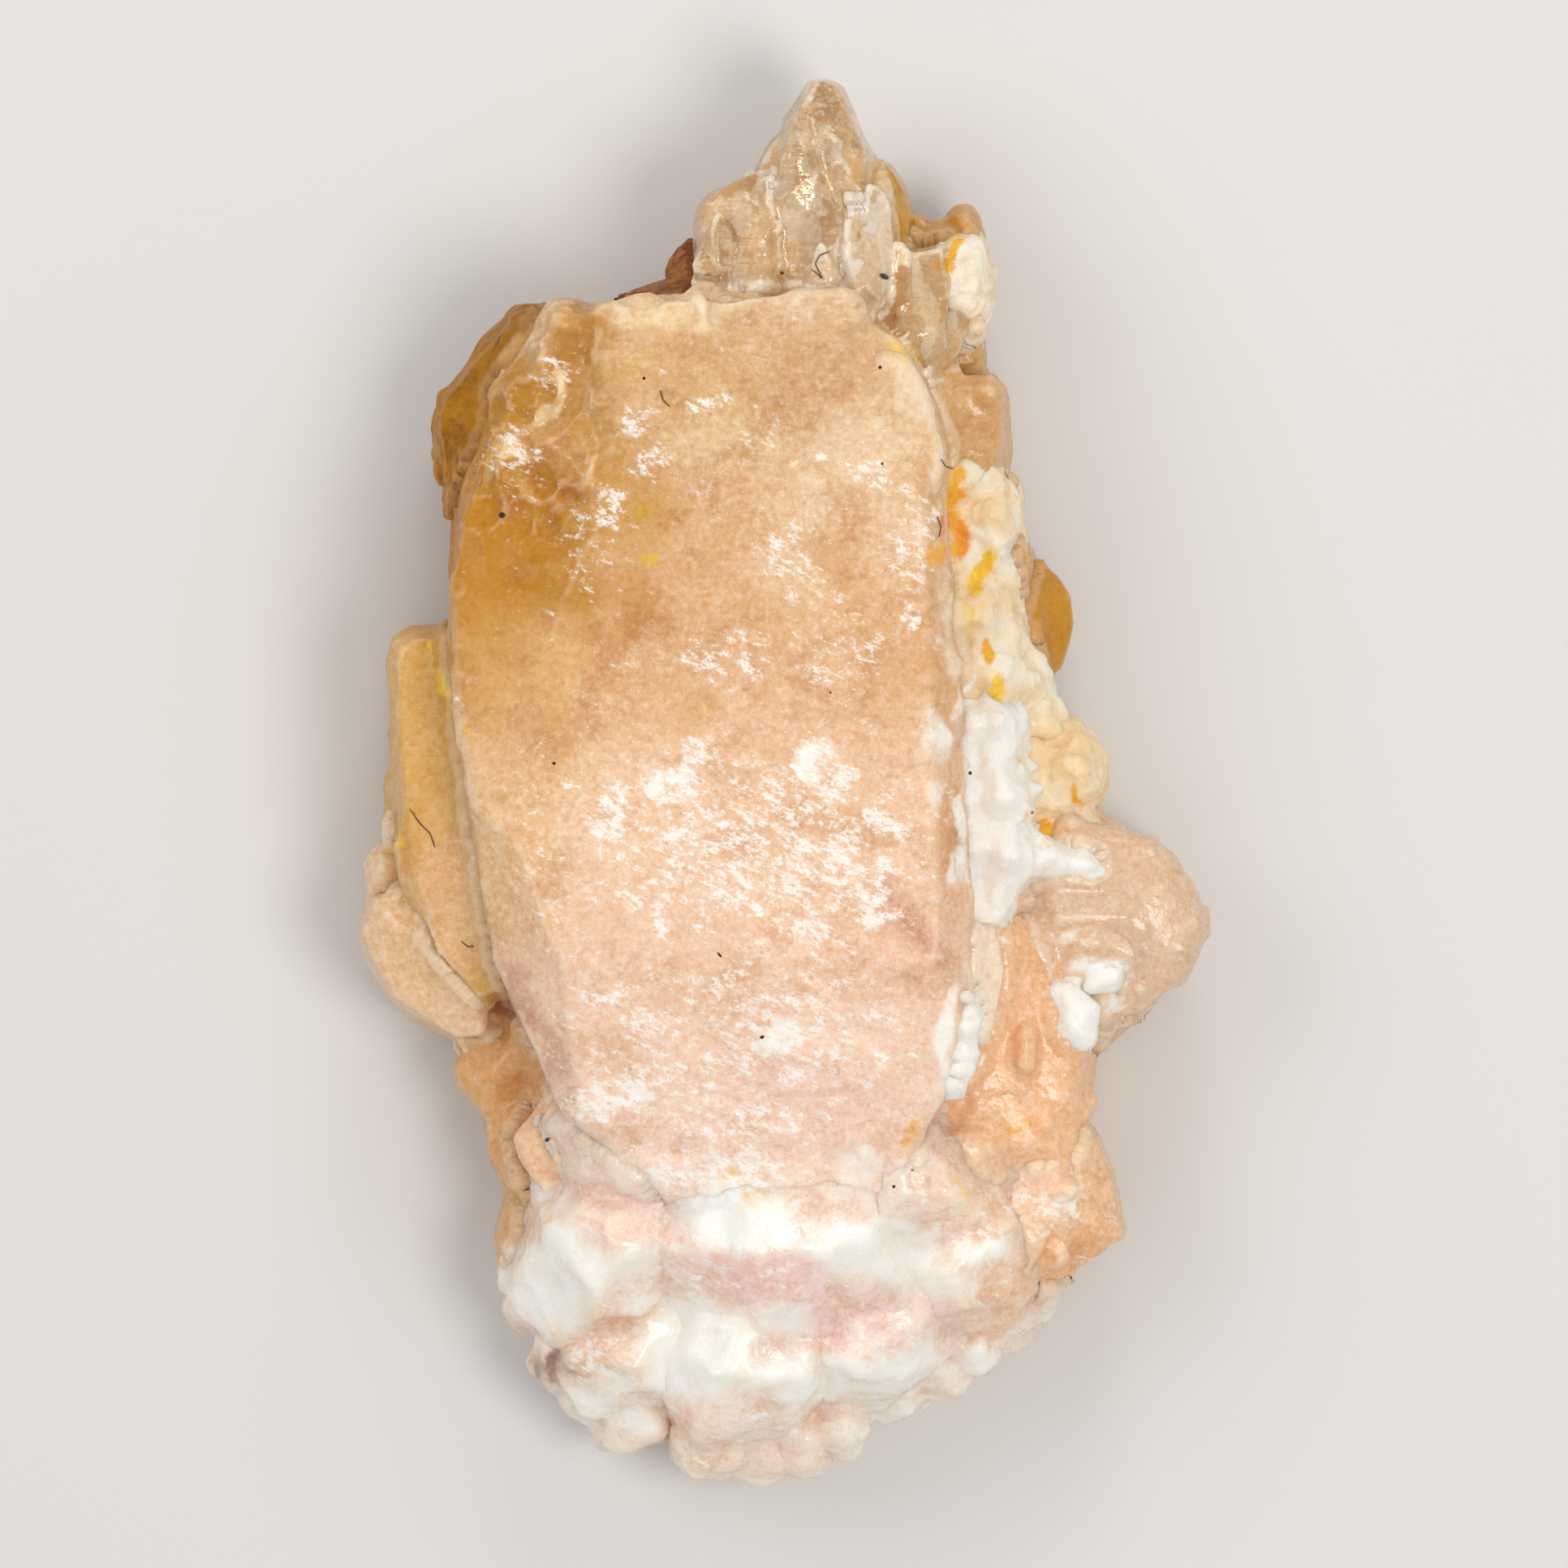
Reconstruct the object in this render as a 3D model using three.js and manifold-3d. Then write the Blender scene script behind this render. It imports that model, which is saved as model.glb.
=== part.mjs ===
// Rose quartz crystal cluster, lying on its flat back. Millimetres, +Z up, +X right, +Y towards the clear point.
// Each crystal is a convex solid given by its faces. Crystals that grew through each other are joined in one
// mesh, and a later mesh is cut back from the earlier ones, as a younger crystal grows round an older one.
import * as THREE from "three";
import { ConvexGeometry } from "three/addons/geometries/ConvexGeometry.js";
import { mergeVertices } from "three/addons/utils/BufferGeometryUtils.js";
import Module from "manifold-3d";

const wasm = await Module();
wasm.setup();

// Driving dimensions
const clusterLength = 61.2; // along Y, from the lowest rose crystal to the tip of the clear point
const clusterWidth = 37.0; // along X, from the left flake to the clear lobe
const frontFaceHeight = 15.4; // the big crystal's front face above the flat back
const growthGap = 0.3; // between neighbouring crystals
const weldDistance = 1e-4;
const insideTolerance = 1e-6;

// A repeatable source of chance, the same on every run.
function chance(seed) {
  let state = seed * 2654435761;
  return () => {
    state = (state + 0x6d2b79f5) | 0;
    let t = Math.imul(state ^ (state >>> 15), 1 | state);
    t = (t + Math.imul(t ^ (t >>> 7), 61 | t)) ^ t;
    return ((t ^ (t >>> 14)) >>> 0) / 4294967296;
  };
}

// A face is a plane: its outward normal and its distance from the origin.
function face(normal, point) {
  const n = new THREE.Vector3(...normal).normalize();
  return { n, d: n.dot(new THREE.Vector3(...point)) };
}

// Every shape below is a function: given a distance, it returns the shape as a geometry grown outward by that much.
// A slab with a convex outline, the widest it is seen from the front. Its walls lean in by lean above that, its rims
// are bevelled by bevel and under, and each entry of facets is a front face through x, y, z that falls by slope
// along the direction toX, toY.
function slab({ outline, low, high, lean = 0.08, bevel = 0.8, under = 1.2, facets = [] }) {
  const faces = [face([0, 0, 1], [0, 0, high]), face([0, 0, -1], [0, 0, low])];
  outline.forEach(([x, y], i) => {
    const [nextX, nextY] = outline[(i + 1) % outline.length];
    const out = new THREE.Vector2(nextY - y, x - nextX).normalize();
    const widest = low + under;
    faces.push(face([out.x, out.y, lean], [x, y, widest]));
    const inset = lean * (high - bevel - widest);
    if (bevel) faces.push(face([out.x, out.y, 1], [x - out.x * inset, y - out.y * inset, high - bevel]));
    if (under) faces.push(face([out.x, out.y, -0.9], [x, y, widest]));
  });
  for (const [x, y, z, toX, toY, slope] of facets) {
    const run = Math.hypot(toX, toY);
    faces.push(face([(toX / run) * slope, (toY / run) * slope, 1], [x, y, z]));
  }
  return (grow) => new ConvexGeometry(corners(faces, grow));
}

// A six-sided quartz crystal from base to tip, wide by thick across its faces, turned about its own axis.
// cap is the share of its length that the pointed end takes, and blunt how much of the point is worn away.
function crystal({ base, tip, wide, thick = wide, turn = 0, cap = 0.45, blunt = 0.06, taper = 0.06, seed = 1 }) {
  const from = new THREE.Vector3(...base);
  const axis = new THREE.Vector3(...tip).sub(from);
  const length = axis.length();
  axis.normalize();
  const side = Math.abs(axis.z) > 0.9 ? new THREE.Vector3(1, 0, 0) : new THREE.Vector3(0, 0, 1);
  const across = new THREE.Vector3().crossVectors(side, axis).normalize();
  const through = new THREE.Vector3().crossVectors(axis, across);
  const random = chance(seed);
  const faces = [
    { n: axis.clone(), d: axis.dot(from) + length * (1 - blunt) },
    { n: axis.clone().negate(), d: -axis.dot(from) },
  ];
  for (let i = 0; i < 6; i++) {
    const angle = turn + (i * Math.PI) / 3 + (random() - 0.5) * 0.12;
    const reach = 1 / Math.hypot((2 * Math.cos(angle)) / wide, (2 * Math.sin(angle)) / thick);
    const out = across.clone().multiplyScalar(Math.cos(angle)).addScaledVector(through, Math.sin(angle));
    const shoulder = from.clone().addScaledVector(axis, length * (1 - cap * (0.82 + 0.36 * random())));
    const wall = out.clone().addScaledVector(axis, taper).normalize();
    faces.push({ n: wall, d: wall.dot(shoulder.clone().addScaledVector(out, reach)) });
    const pitch = reach / (length * cap);
    const roof = out.clone().addScaledVector(axis, pitch).normalize();
    faces.push({ n: roof, d: roof.dot(shoulder.addScaledVector(out, reach)) });
  }
  return (grow) => new ConvexGeometry(corners(faces, grow));
}

// Directions spread evenly over a sphere, each moved a little by chance.
function spread(count, random) {
  const goldenAngle = Math.PI * (3 - Math.sqrt(5));
  return Array.from({ length: count }, (_, i) => {
    const up = 1 - (2 * (i + 0.5)) / count;
    const round = Math.sqrt(1 - up * up);
    const angle = i * goldenAngle + random() * 0.9;
    const n = new THREE.Vector3(round * Math.cos(angle), round * Math.sin(angle), up + (random() - 0.5) * 0.3);
    return n.normalize();
  });
}

// A blunt crystal: flat faces laid round an ellipsoid with half sizes size.
function blunt({ at, size, seed, count = 24, rough = 0.08 }) {
  const random = chance(seed);
  const centre = new THREE.Vector3(...at);
  const reach = new THREE.Vector3(...size);
  const faces = spread(count, random).map((n) => {
    return { n, d: n.dot(centre) + n.clone().multiply(reach).length() * (1 - rough * random()) };
  });
  return (grow) => new ConvexGeometry(corners(faces, grow));
}

// A worn knob: corners spread over an ellipsoid with half sizes size, and flat faces between them.
function knob({ at, size, seed, count = 20, rough = 0.08 }) {
  const random = chance(seed);
  const knobCorners = spread(count, random).map((n) => n.multiplyScalar(1 - rough * random()));
  const growthShare = 1.12;
  return (grow) => {
    const reach = new THREE.Vector3(...size).addScalar(grow * growthShare);
    return new ConvexGeometry(knobCorners.map((n) => n.clone().multiply(reach).add(new THREE.Vector3(...at))));
  };
}

// The corners of the solid that lies behind all its faces, each face first moved out by grow.
function corners(faces, grow) {
  const planes = faces.map(({ n, d }) => ({ n, d: d + grow }));
  const found = [];
  const ab = new THREE.Vector3();
  for (let i = 0; i < planes.length; i++)
    for (let j = i + 1; j < planes.length; j++) {
      ab.crossVectors(planes[i].n, planes[j].n);
      if (ab.lengthSq() < 1e-8) continue;
      for (let k = j + 1; k < planes.length; k++) {
        const volume = ab.dot(planes[k].n);
        if (Math.abs(volume) < 1e-5) continue;
        const p = ab.clone().multiplyScalar(planes[k].d);
        p.addScaledVector(new THREE.Vector3().crossVectors(planes[j].n, planes[k].n), planes[i].d);
        p.addScaledVector(new THREE.Vector3().crossVectors(planes[k].n, planes[i].n), planes[j].d);
        p.divideScalar(volume);
        if (planes.some(({ n, d }) => n.dot(p) > d + insideTolerance)) continue;
        if (found.every((q) => q.distanceTo(p) > 0.01)) found.push(p);
      }
    }
  return found;
}

// A three.js geometry as a solid that can be joined and cut.
function solidOf(geometry) {
  const bare = geometry.index ? geometry.toNonIndexed() : geometry.clone();
  bare.deleteAttribute("normal");
  bare.deleteAttribute("uv");
  const merged = mergeVertices(bare, weldDistance);
  return new wasm.Manifold(
    new wasm.Mesh({
      numProp: 3,
      vertProperties: merged.attributes.position.array,
      triVerts: new Uint32Array(merged.index.array),
    }),
  );
}

function geometryOf(solid) {
  const mesh = solid.getMesh();
  const geometry = new THREE.BufferGeometry();
  geometry.setAttribute("position", new THREE.BufferAttribute(mesh.vertProperties, 3));
  geometry.setIndex(new THREE.BufferAttribute(mesh.triVerts, 1));
  const flat = geometry.toNonIndexed();
  flat.computeVertexNormals();
  return flat;
}

function joined(shapes, grow) {
  return shapes.map((shape) => solidOf(shape(grow))).reduce((whole, next) => whole.add(next));
}

function largest(solid) {
  return solid.decompose().reduce((best, next) => (next.volume() > best.volume() ? next : best));
}

// The big tabular crystal
function mainCrystal() {
  const body = slab({
    outline: [
      [-9.8, 20.6], [-12.4, 17.3], [-14.2, 12.2], [-14.6, 6.5], [-13.8, -1], [-12.7, -7.5], [-9.6, -14.4],
      [-5, -18], [4.6, -18], [7.4, -13.2], [8.3, -8.5], [8.1, -2], [7.7, 5], [7, 14.2], [5.2, 18.8],
      [2.6, 21.3], [-0.6, 21.4],
    ],
    low: 0,
    high: frontFaceHeight + 0.5,
    lean: 0.05,
    bevel: 0.9,
    under: 2.2,
    facets: [
      [-2, 2, frontFaceHeight, 1, 0.4, 0.04],
      [-8, 20, 15.1, -0.98, 0.2, 0.4],
      [-1, -8, 15.3, 0.1, -1, 0.26],
      [-11.6, -8.5, 13.2, -0.92, -0.39, 0.95],
      [-2, 16.2, 15.4, 0.1, 1, 0.2],
      [6.3, 3, 14.8, 1, 0.05, 1.2],
      [4.2, 15.6, 14.8, 0.85, 0.52, 0.6],
    ],
  });
  const brokenCorner = slab({
    outline: [[-8.2, 20.4], [-9.2, 20.9], [-10.1, 20.75], [-12.6, 17], [-12.8, 15.4], [-12, 14.1], [-8, 13.4]],
    low: 6,
    high: 14.4,
    bevel: 0.5,
    facets: [[-9.5, 17, 14.1, -0.9, 0.4, 0.2], [-11.5, 15.5, 13.2, -0.5, -0.8, 0.45]],
  });
  const innerStep = slab({
    outline: [[-8.1, 19.6], [-9.2, 19.4], [-11.2, 14.9], [-10.6, 9.6], [-8.6, 9.4]],
    low: 6,
    high: 14.9,
    bevel: 0.4,
    facets: [[-9, 15, 14.8, -1, 0.2, 0.16]],
  });
  const upperLedge = slab({
    outline: [[-3.6, 20.85], [-6.3, 20.75], [-7.1, 20.1], [-7.4, 17], [-2.6, 16.8]],
    low: 8,
    high: 15,
    bevel: 0.5,
    facets: [[-5, 18.5, 14.8, 0, 1, 0.16]],
  });
  const upperTooth = slab({
    outline: [[-2.7, 20.3], [-3.4, 21.15], [-4.1, 21.2], [-4.4, 18.6], [-2.4, 18.4]],
    low: 9,
    high: 15,
    bevel: 0.4,
  });
  const rimSliver = slab({
    outline: [[7, 14.3], [6.4, 16.1], [5.3, 18.2], [3.8, 18.6], [3.1, 15], [4.6, 11.4], [6.9, 12.2]],
    low: 8,
    high: 15,
    bevel: 0.4,
    facets: [[4.8, 15, 14.8, 0.9, 0.4, 0.22]],
  });
  return [body, brokenCorner, innerStep, upperLedge, upperTooth, rimSliver];
}

// The stained plate behind the big crystal's upper left corner
function amberPlate() {
  return [
    slab({
      outline: [
        [-10, 20.75], [-11.8, 20.65], [-12.5, 19.8], [-14.6, 17.5], [-15.2, 16], [-15.1, 14.4], [-14.4, 11],
        [-8, 10], [-8, 20],
      ],
      low: 1.4,
      high: 9.6,
      bevel: 1.2,
      facets: [[-12, 17, 9.2, -0.7, 0.6, 0.3]],
    }),
    slab({
      outline: [[-13, 18.8], [-15, 17], [-15.15, 14.2], [-14.5, 12.4], [-11, 12], [-11, 18]],
      low: 1.8,
      high: 8.6,
      facets: [[-13.5, 15, 8, -1, 0.2, 0.4]],
    }),
    knob({ at: [-14.6, 13.6, 5.6], size: [0.55, 0.8, 1.6], seed: 3 }),
  ];
}

// The pale slab on the left and the flake that overlaps its lower end
function leftSlab() {
  return [
    slab({
      outline: [
        [-14.8, 6.85], [-16.1, 6.7], [-17, 6.3], [-17.4, 4.9], [-17.2, 1], [-17.1, -3.8], [-15.4, -7.6], [-13.2, -9.8],
        [-11, -9], [-11, 6.5],
      ],
      low: 0,
      high: 11.4,
      lean: 0.08,
      bevel: 0.9,
      facets: [[-15, 2, 11, -1, 0.1, 0.2], [-14.6, -6.5, 10.6, -0.5, -0.85, 0.35]],
    }),
  ];
}

function leftFlake() {
  return [
    slab({
      outline: [
        [-16.9, -4.1], [-18, -4.7], [-18.5, -6.3], [-18.05, -7.9], [-17.2, -9.4], [-16.3, -10.1], [-14.2, -11.3],
        [-12.4, -11.2], [-12.2, -8.6],
      ],
      low: 1.6,
      high: 9.8,
      lean: 0.1,
      bevel: 1.1,
      facets: [[-15.2, -8, 9.1, -0.6, -0.7, 0.38]],
    }),
    knob({ at: [-17.5, -3.9, 5.6], size: [0.7, 1.3, 2.1], seed: 5 }),
    knob({ at: [-16.9, -2.2, 6.2], size: [0.55, 1.2, 1.7], seed: 6 }),
  ];
}

// The brown stained rock that shows behind the upper edge
function stainedRidge() {
  return [
    slab({
      outline: [
        [-3.7, 23.4], [-4.7, 22.9], [-6.1, 21.7], [-7.6, 20.95], [-9, 20.4], [-9, 17], [-2, 17], [-2, 23],
      ],
      low: 0.6,
      high: 8.2,
      bevel: 1,
      facets: [[-6, 20, 7.6, -0.4, 0.9, 0.45]],
    }),
    crystal({ base: [-3.4, 19, 5.8], tip: [-4.3, 23.5, 6.4], wide: 1.7, thick: 2.2, cap: 0.3, seed: 11 }),
  ];
}

// The crown of clear crystals at the top
function clearPoint() {
  return [
    slab({
      outline: [
        [1.9, 30.45], [0.9, 30.45], [0.3, 29.8], [0, 28.6], [-1.2, 26.7], [-1.4, 21], [4.4, 21], [3.9, 27.1],
        [3.4, 28.2], [2.5, 30.05],
      ],
      low: 3.6,
      high: 13,
      lean: 0.1,
      bevel: 1.4,
      under: 2.4,
      facets: [
        [1.35, 27, 12, -1, 0.3, 0.75],
        [1.5, 27.2, 12, 0.7, 1, 0.62],
        [3, 24, 12, 1, 0.12, 0.5],
        [0.4, 25, 11.6, -1, -0.5, 0.5],
      ],
    }),
    slab({
      outline: [[0.05, 28.3], [-0.6, 27.7], [-1.25, 26.6], [-1.4, 23], [0.8, 23], [0.9, 27.6]],
      low: 4.4,
      high: 9.8,
      bevel: 0.9,
    }),
  ];
}

function shoulderCrystal() {
  return [
    slab({
      outline: [[-0.9, 26.55], [-3, 25.65], [-3.65, 25.1], [-3.85, 24.3], [-3.95, 20.4], [0.6, 20], [0.6, 26]],
      low: 3.4,
      high: 11.6,
      lean: 0.06,
      bevel: 1,
      facets: [[-2.6, 23, 11.1, -1, 0.25, 0.4], [-1, 25.2, 11.2, -0.2, 1, 0.5]],
    }),
    crystal({ base: [-0.9, 20, 8.6], tip: [-0.7, 26.2, 11.4], wide: 1.9, thick: 2, cap: 0.4, seed: 14 }),
    crystal({ base: [-2.6, 20, 9.4], tip: [-2.9, 24.6, 12], wide: 1.8, thick: 1.7, cap: 0.4, seed: 15 }),
  ];
}

function frontColumn() {
  return [
    slab({
      outline: [[2.1, 26.8], [1.9, 22], [2.6, 20.2], [4.3, 20.4], [4.75, 23.4], [4.4, 25.3]],
      low: 7,
      high: 12.6,
      lean: 0.05,
      bevel: 0.7,
      facets: [[3.3, 24, 12.3, 1, 0.3, 0.5]],
    }),
    crystal({ base: [0.8, 20, 10], tip: [0.6, 25.8, 12.4], wide: 1.5, thick: 1.6, cap: 0.45, seed: 17 }),
    crystal({ base: [2.0, 19.6, 11.2], tip: [1.5, 23.4, 13.4], wide: 1.3, thick: 1.3, cap: 0.5, seed: 18 }),
  ];
}

function goldenShoulder() {
  return [
    slab({
      outline: [[3.7, 27.2], [3.2, 21], [4.9, 21.8], [5.4, 23.4], [5.75, 24.5], [5.5, 25.3], [5.1, 26.25], [4.6, 26.9]],
      low: 2.2,
      high: 8.4,
      bevel: 1,
      facets: [[4.6, 24.6, 8, 1, 0.2, 0.5]],
    }),
  ];
}

// The blocks of quartz and feldspar to the right of the crown
function clearBlock() {
  return [
    slab({
      outline: [[7.2, 23.6], [4.9, 23.2], [3.4, 20.6], [4.4, 18.2], [5.75, 17.2], [7.4, 18.3], [7.6, 21]],
      low: 1.2,
      high: 11.2,
      lean: 0.08,
      bevel: 0.8,
      facets: [[5.6, 20.6, 10.8, 0.7, 0.5, 0.24], [6, 18.4, 10.4, 0.6, -0.8, 0.7]],
    }),
    crystal({ base: [3.8, 19.4, 9], tip: [5.2, 23, 12], wide: 1.7, thick: 1.6, cap: 0.45, seed: 21 }),
    crystal({ base: [7.3, 20.4, 8.8], tip: [6.1, 17.1, 10], wide: 1.4, thick: 1.2, cap: 0.4, seed: 22 }),
  ];
}

function honeyKnob() {
  return [
    slab({
      outline: [[8, 25.05], [7.15, 25.05], [6.5, 24.5], [5.6, 24.4], [4.8, 22.6], [8.4, 22.6]],
      low: 1.6,
      high: 7.2,
      bevel: 0.9,
    }),
    knob({ at: [7.75, 24.1, 5], size: [0.92, 1.0, 2.4], seed: 24 }),
    knob({ at: [8.0, 18.5, 5], size: [0.75, 1.1, 2.2], seed: 25 }),
    slab({ outline: [[8.2, 24], [6, 23.6], [6, 17.4], [8.4, 17.8], [8.5, 21]], low: 1.6, high: 5.6, bevel: 0.8 }),
  ];
}

function upperFeldspar() {
  return [
    slab({
      outline: [[8.45, 23.5], [7.3, 23.55], [6.75, 22.6], [6.9, 19.3], [7.9, 18.9], [8.4, 19.6], [8.85, 20.6], [8.9, 22.2]],
      low: 4,
      high: 10,
      lean: 0.04,
      bevel: 1.1,
    }),
    knob({ at: [7.8, 21.9, 8], size: [0.9, 1.5, 2.4], seed: 27 }),
    knob({ at: [7.7, 20, 7.8], size: [0.9, 1.1, 2.4], seed: 28 }),
  ];
}

// The right flank: honey quartz, then a vein of white feldspar down to the lobe
function honeyBlock() {
  return [
    slab({
      outline: [
        [9, 17.85], [7.3, 18.1], [5.2, 17.4], [6, 12], [9.3, 12.2], [9.65, 13.2], [9.85, 14.5], [9.7, 16.2], [9.6, 17.3],
      ],
      low: 0.8,
      high: 10,
      bevel: 1,
      facets: [[7.8, 15, 9.7, 0.9, 0.3, 0.22]],
    }),
    knob({ at: [9.55, 13, 6], size: [0.5, 0.55, 1.4], seed: 31 }),
    knob({ at: [8.7, 16.6, 8], size: [0.95, 1.05, 2.2], seed: 32 }),
  ];
}

function feldsparVein() {
  const upper = [
    { at: [8.7, 11.5, 7.4], size: [1.6, 2.2, 2.9] },
    { at: [7.5, 12.8, 7.8], size: [1.0, 1.15, 2.2] },
    { at: [7.6, 9.9, 7.8], size: [1.2, 1.35, 2.3] },
    { at: [9.5, 11.3, 6], size: [0.62, 1.2, 2.2] },
    { at: [9, 9.2, 7.2], size: [1.1, 1.3, 2.4] },
  ];
  const middle = [
    { at: [8.2, 7.2, 8.2], size: [1.35, 1.9, 2.9] },
    { at: [9.5, 6.6, 6.8], size: [1.1, 1.9, 2.7] },
    { at: [9, 4.6, 8], size: [1.6, 1.7, 2.9] },
    { at: [10.4, 4.4, 6.4], size: [1.2, 1.5, 2.5] },
    { at: [10.9, 3.2, 6], size: [1.15, 1.2, 2.4] },
  ];
  const backing = slab({
    outline: [[10.2, 10.6], [9.3, 12.2], [7.2, 13.6], [6.2, 12], [6.4, 4], [9, 2], [11.2, 2.6], [11.5, 4.1], [10.4, 6]],
    low: 1,
    high: 8.6,
    bevel: 1.2,
  });
  return [backing, ...[...upper, ...middle].map((place, i) => knob({ ...place, seed: 40 + i, count: 18 }))];
}

function whiteVein() {
  const backing = slab({
    outline: [[10.4, 3], [8, 4], [6.6, 3], [6.8, -5], [8.6, -6.4], [10.2, -5.4], [12.6, -4.2], [13.8, -3.4], [11.6, -2]],
    low: 1,
    high: 8.2,
    bevel: 1.2,
  });
  const knobs = [
    { at: [8.9, 2.2, 8.4], size: [1.5, 2.1, 3.2] },
    { at: [9.1, -0.6, 8.6], size: [1.8, 2.3, 3.4] },
    { at: [9.2, -3.2, 8.6], size: [1.9, 1.7, 3.3] },
    { at: [8.9, -5.2, 8.4], size: [1.1, 1.35, 2.8] },
    { at: [11, -3.3, 7.8], size: [1.5, 0.95, 2.7] },
    { at: [12.7, -3.5, 7.4], size: [1.35, 0.9, 2.4] },
  ].map((place, i) => knob({ ...place, seed: 60 + i, count: 18 }));
  return [backing, ...knobs];
}

function feldsparKnob() {
  return [
    slab({
      outline: [
        [12.6, 2.75], [11.9, 2.6], [10.2, 2.2], [9.8, -1], [11.2, -2.3], [13.1, -1.6], [13.75, -0.5], [13.9, 0.5],
        [13.75, 1.3], [13.3, 2.1],
      ],
      low: 1.4,
      high: 9,
      bevel: 2,
      under: 2,
    }),
    knob({ at: [12.4, 0.6, 6.2], size: [1.4, 1.9, 3.4], seed: 70 }),
  ];
}

function pinkSideCrystal() {
  return [
    slab({
      outline: [[10.3, 11.1], [9, 11.2], [8.6, 8.2], [10.4, 7.6], [10.9, 9], [10.95, 9.9]],
      low: 0.9,
      high: 7.4,
      bevel: 0.9,
    }),
  ];
}

function goldenBackCrystal() {
  return [
    slab({
      outline: [[10.9, 9.75], [9, 9.6], [9, 4.8], [11.5, 4.5], [12.05, 5.2], [12.4, 6.1], [12.5, 7], [12.35, 8.2], [11.9, 9]],
      low: 0.6,
      high: 6,
      lean: 0.05,
      bevel: 1.5,
      under: 1.5,
    }),
  ];
}

// The clear lobe at the right, with its scalloped edge
function clearLobe() {
  const body = slab({
    outline: [
      [14.3, -1.9], [12.9, -1.8], [10.4, -3], [10, -7.4], [12, -10.2], [15.4, -9.9], [17, -8.6], [17.9, -7.4], [18.25, -6],
      [17.6, -4.4], [16.9, -3.2], [15.9, -2.4],
    ],
    low: 0.8,
    high: 9.4,
    lean: 0.02,
    bevel: 1.6,
    under: 2,
    facets: [[14, -5.4, 9.2, 0.15, 1, 0.34], [14, -6, 9.2, 0.1, -1, 0.4], [15.5, -5.8, 9, 1, 0, 0.3]],
  });
  const scallops = [
    [14.1, -2.6, 1.0], [15.6, -3.2, 1.0], [16.6, -4.4, 1.05], [17.4, -6.1, 1.1], [16.6, -7.8, 1.1], [15.1, -8.9, 1.1],
  ].map(([x, y, reach], i) =>
    knob({ at: [x, y, 5 + (i % 2) * 0.6], size: [reach, reach, 3.1], seed: 80 + i, rough: 0.06 }),
  );
  const steps = [
    crystal({ base: [11, -6.4, 7.4], tip: [15.2, -7.4, 9.8], wide: 2.2, thick: 1.8, cap: 0.35, seed: 90 }),
    crystal({ base: [12, -4.6, 7], tip: [16.4, -4.9, 8.6], wide: 2.4, thick: 1.6, cap: 0.4, seed: 91 }),
  ];
  return [body, ...scallops, ...steps];
}

function lobeFoot() {
  return [
    slab({
      outline: [[15.9, -9.2], [12, -8.6], [11.6, -11.8], [13.6, -12], [14.1, -11.45], [15.1, -11.1], [15.55, -10.6]],
      low: 0.5,
      high: 6.6,
      bevel: 1,
    }),
  ];
}

function milkyBlock() {
  return [
    slab({
      outline: [[12.3, -8.3], [11.5, -8.6], [11.45, -10.6], [12.2, -11.4], [13, -11.5], [13.5, -11.2], [13.7, -9.5]],
      low: 3,
      high: 10.2,
      lean: 0.05,
      bevel: 0.5,
    }),
    slab({ outline: [[14.4, -7.4], [12.9, -8], [12.5, -9.2], [14.5, -9.1], [14.8, -8.2]], low: 4, high: 9.6, bevel: 0.6 }),
  ];
}

// The peach coloured quartz below the lobe, with the blades that edge the big crystal
function peachBody() {
  return [
    slab({
      outline: [
        [11.4, -5.2], [8.2, -4.8], [6, -12], [5.6, -17.4], [12.8, -17.2], [13.3, -15], [13.45, -13.4], [13.65, -11.9],
      ],
      low: 0,
      high: 10.6,
      lean: 0.1,
      bevel: 1.6,
      facets: [[10, -11, 10, 1, 0.1, 0.22]],
    }),
    slab({ outline: [[10.9, -9.9], [9.8, -10.1], [9.6, -11], [9.7, -12.7], [10.9, -12.7], [11.1, -11]], low: 4, high: 11, bevel: 0.4 }),
    crystal({ base: [9.4, -13.6, 7], tip: [11.6, -14.6, 10.4], wide: 2.6, thick: 2, cap: 0.4, seed: 95 }),
    crystal({ base: [8, -14.8, 7.6], tip: [8.6, -15.6, 11.4], wide: 2.8, thick: 2.4, cap: 0.4, seed: 96 }),
    crystal({ base: [12, -13.4, 5.6], tip: [12.9, -14.4, 8.6], wide: 1.9, thick: 1.8, cap: 0.4, seed: 97 }),
  ];
}

function feldsparBlade() {
  return [
    slab({
      outline: [[7.7, -7.8], [6.7, -8], [6.2, -9.8], [5.9, -13.1], [7.3, -13.1], [8.1, -11.5], [8.3, -9.8]],
      low: 8,
      high: 14.6,
      lean: 0.02,
      bevel: 0.5,
      facets: [[7, -10, 14.2, 0.3, -1, 0.22]],
    }),
  ];
}

function peachBlade() {
  return [
    slab({
      outline: [[9.1, -6], [7.3, -5.8], [7.2, -12.8], [8.1, -12.6], [8.9, -10.4], [9.5, -8]],
      low: 4,
      high: 12.4,
      lean: 0.04,
      bevel: 0.5,
      facets: [[8.4, -9, 12, 1, -0.2, 0.35]],
    }),
  ];
}

// The rose quartz that the cluster grew from: worn, blunt crystals grown into one mass, with a scalloped rim
const baseFlat = [
  [8, -14], [-8, -14], [-11, -18], [-11.4, -22], [-9.4, -26], [-6.4, -28.2], [-1, -29.2], [4.6, -27.2], [9.2, -23.8],
  [11.6, -20.6],
];
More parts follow.
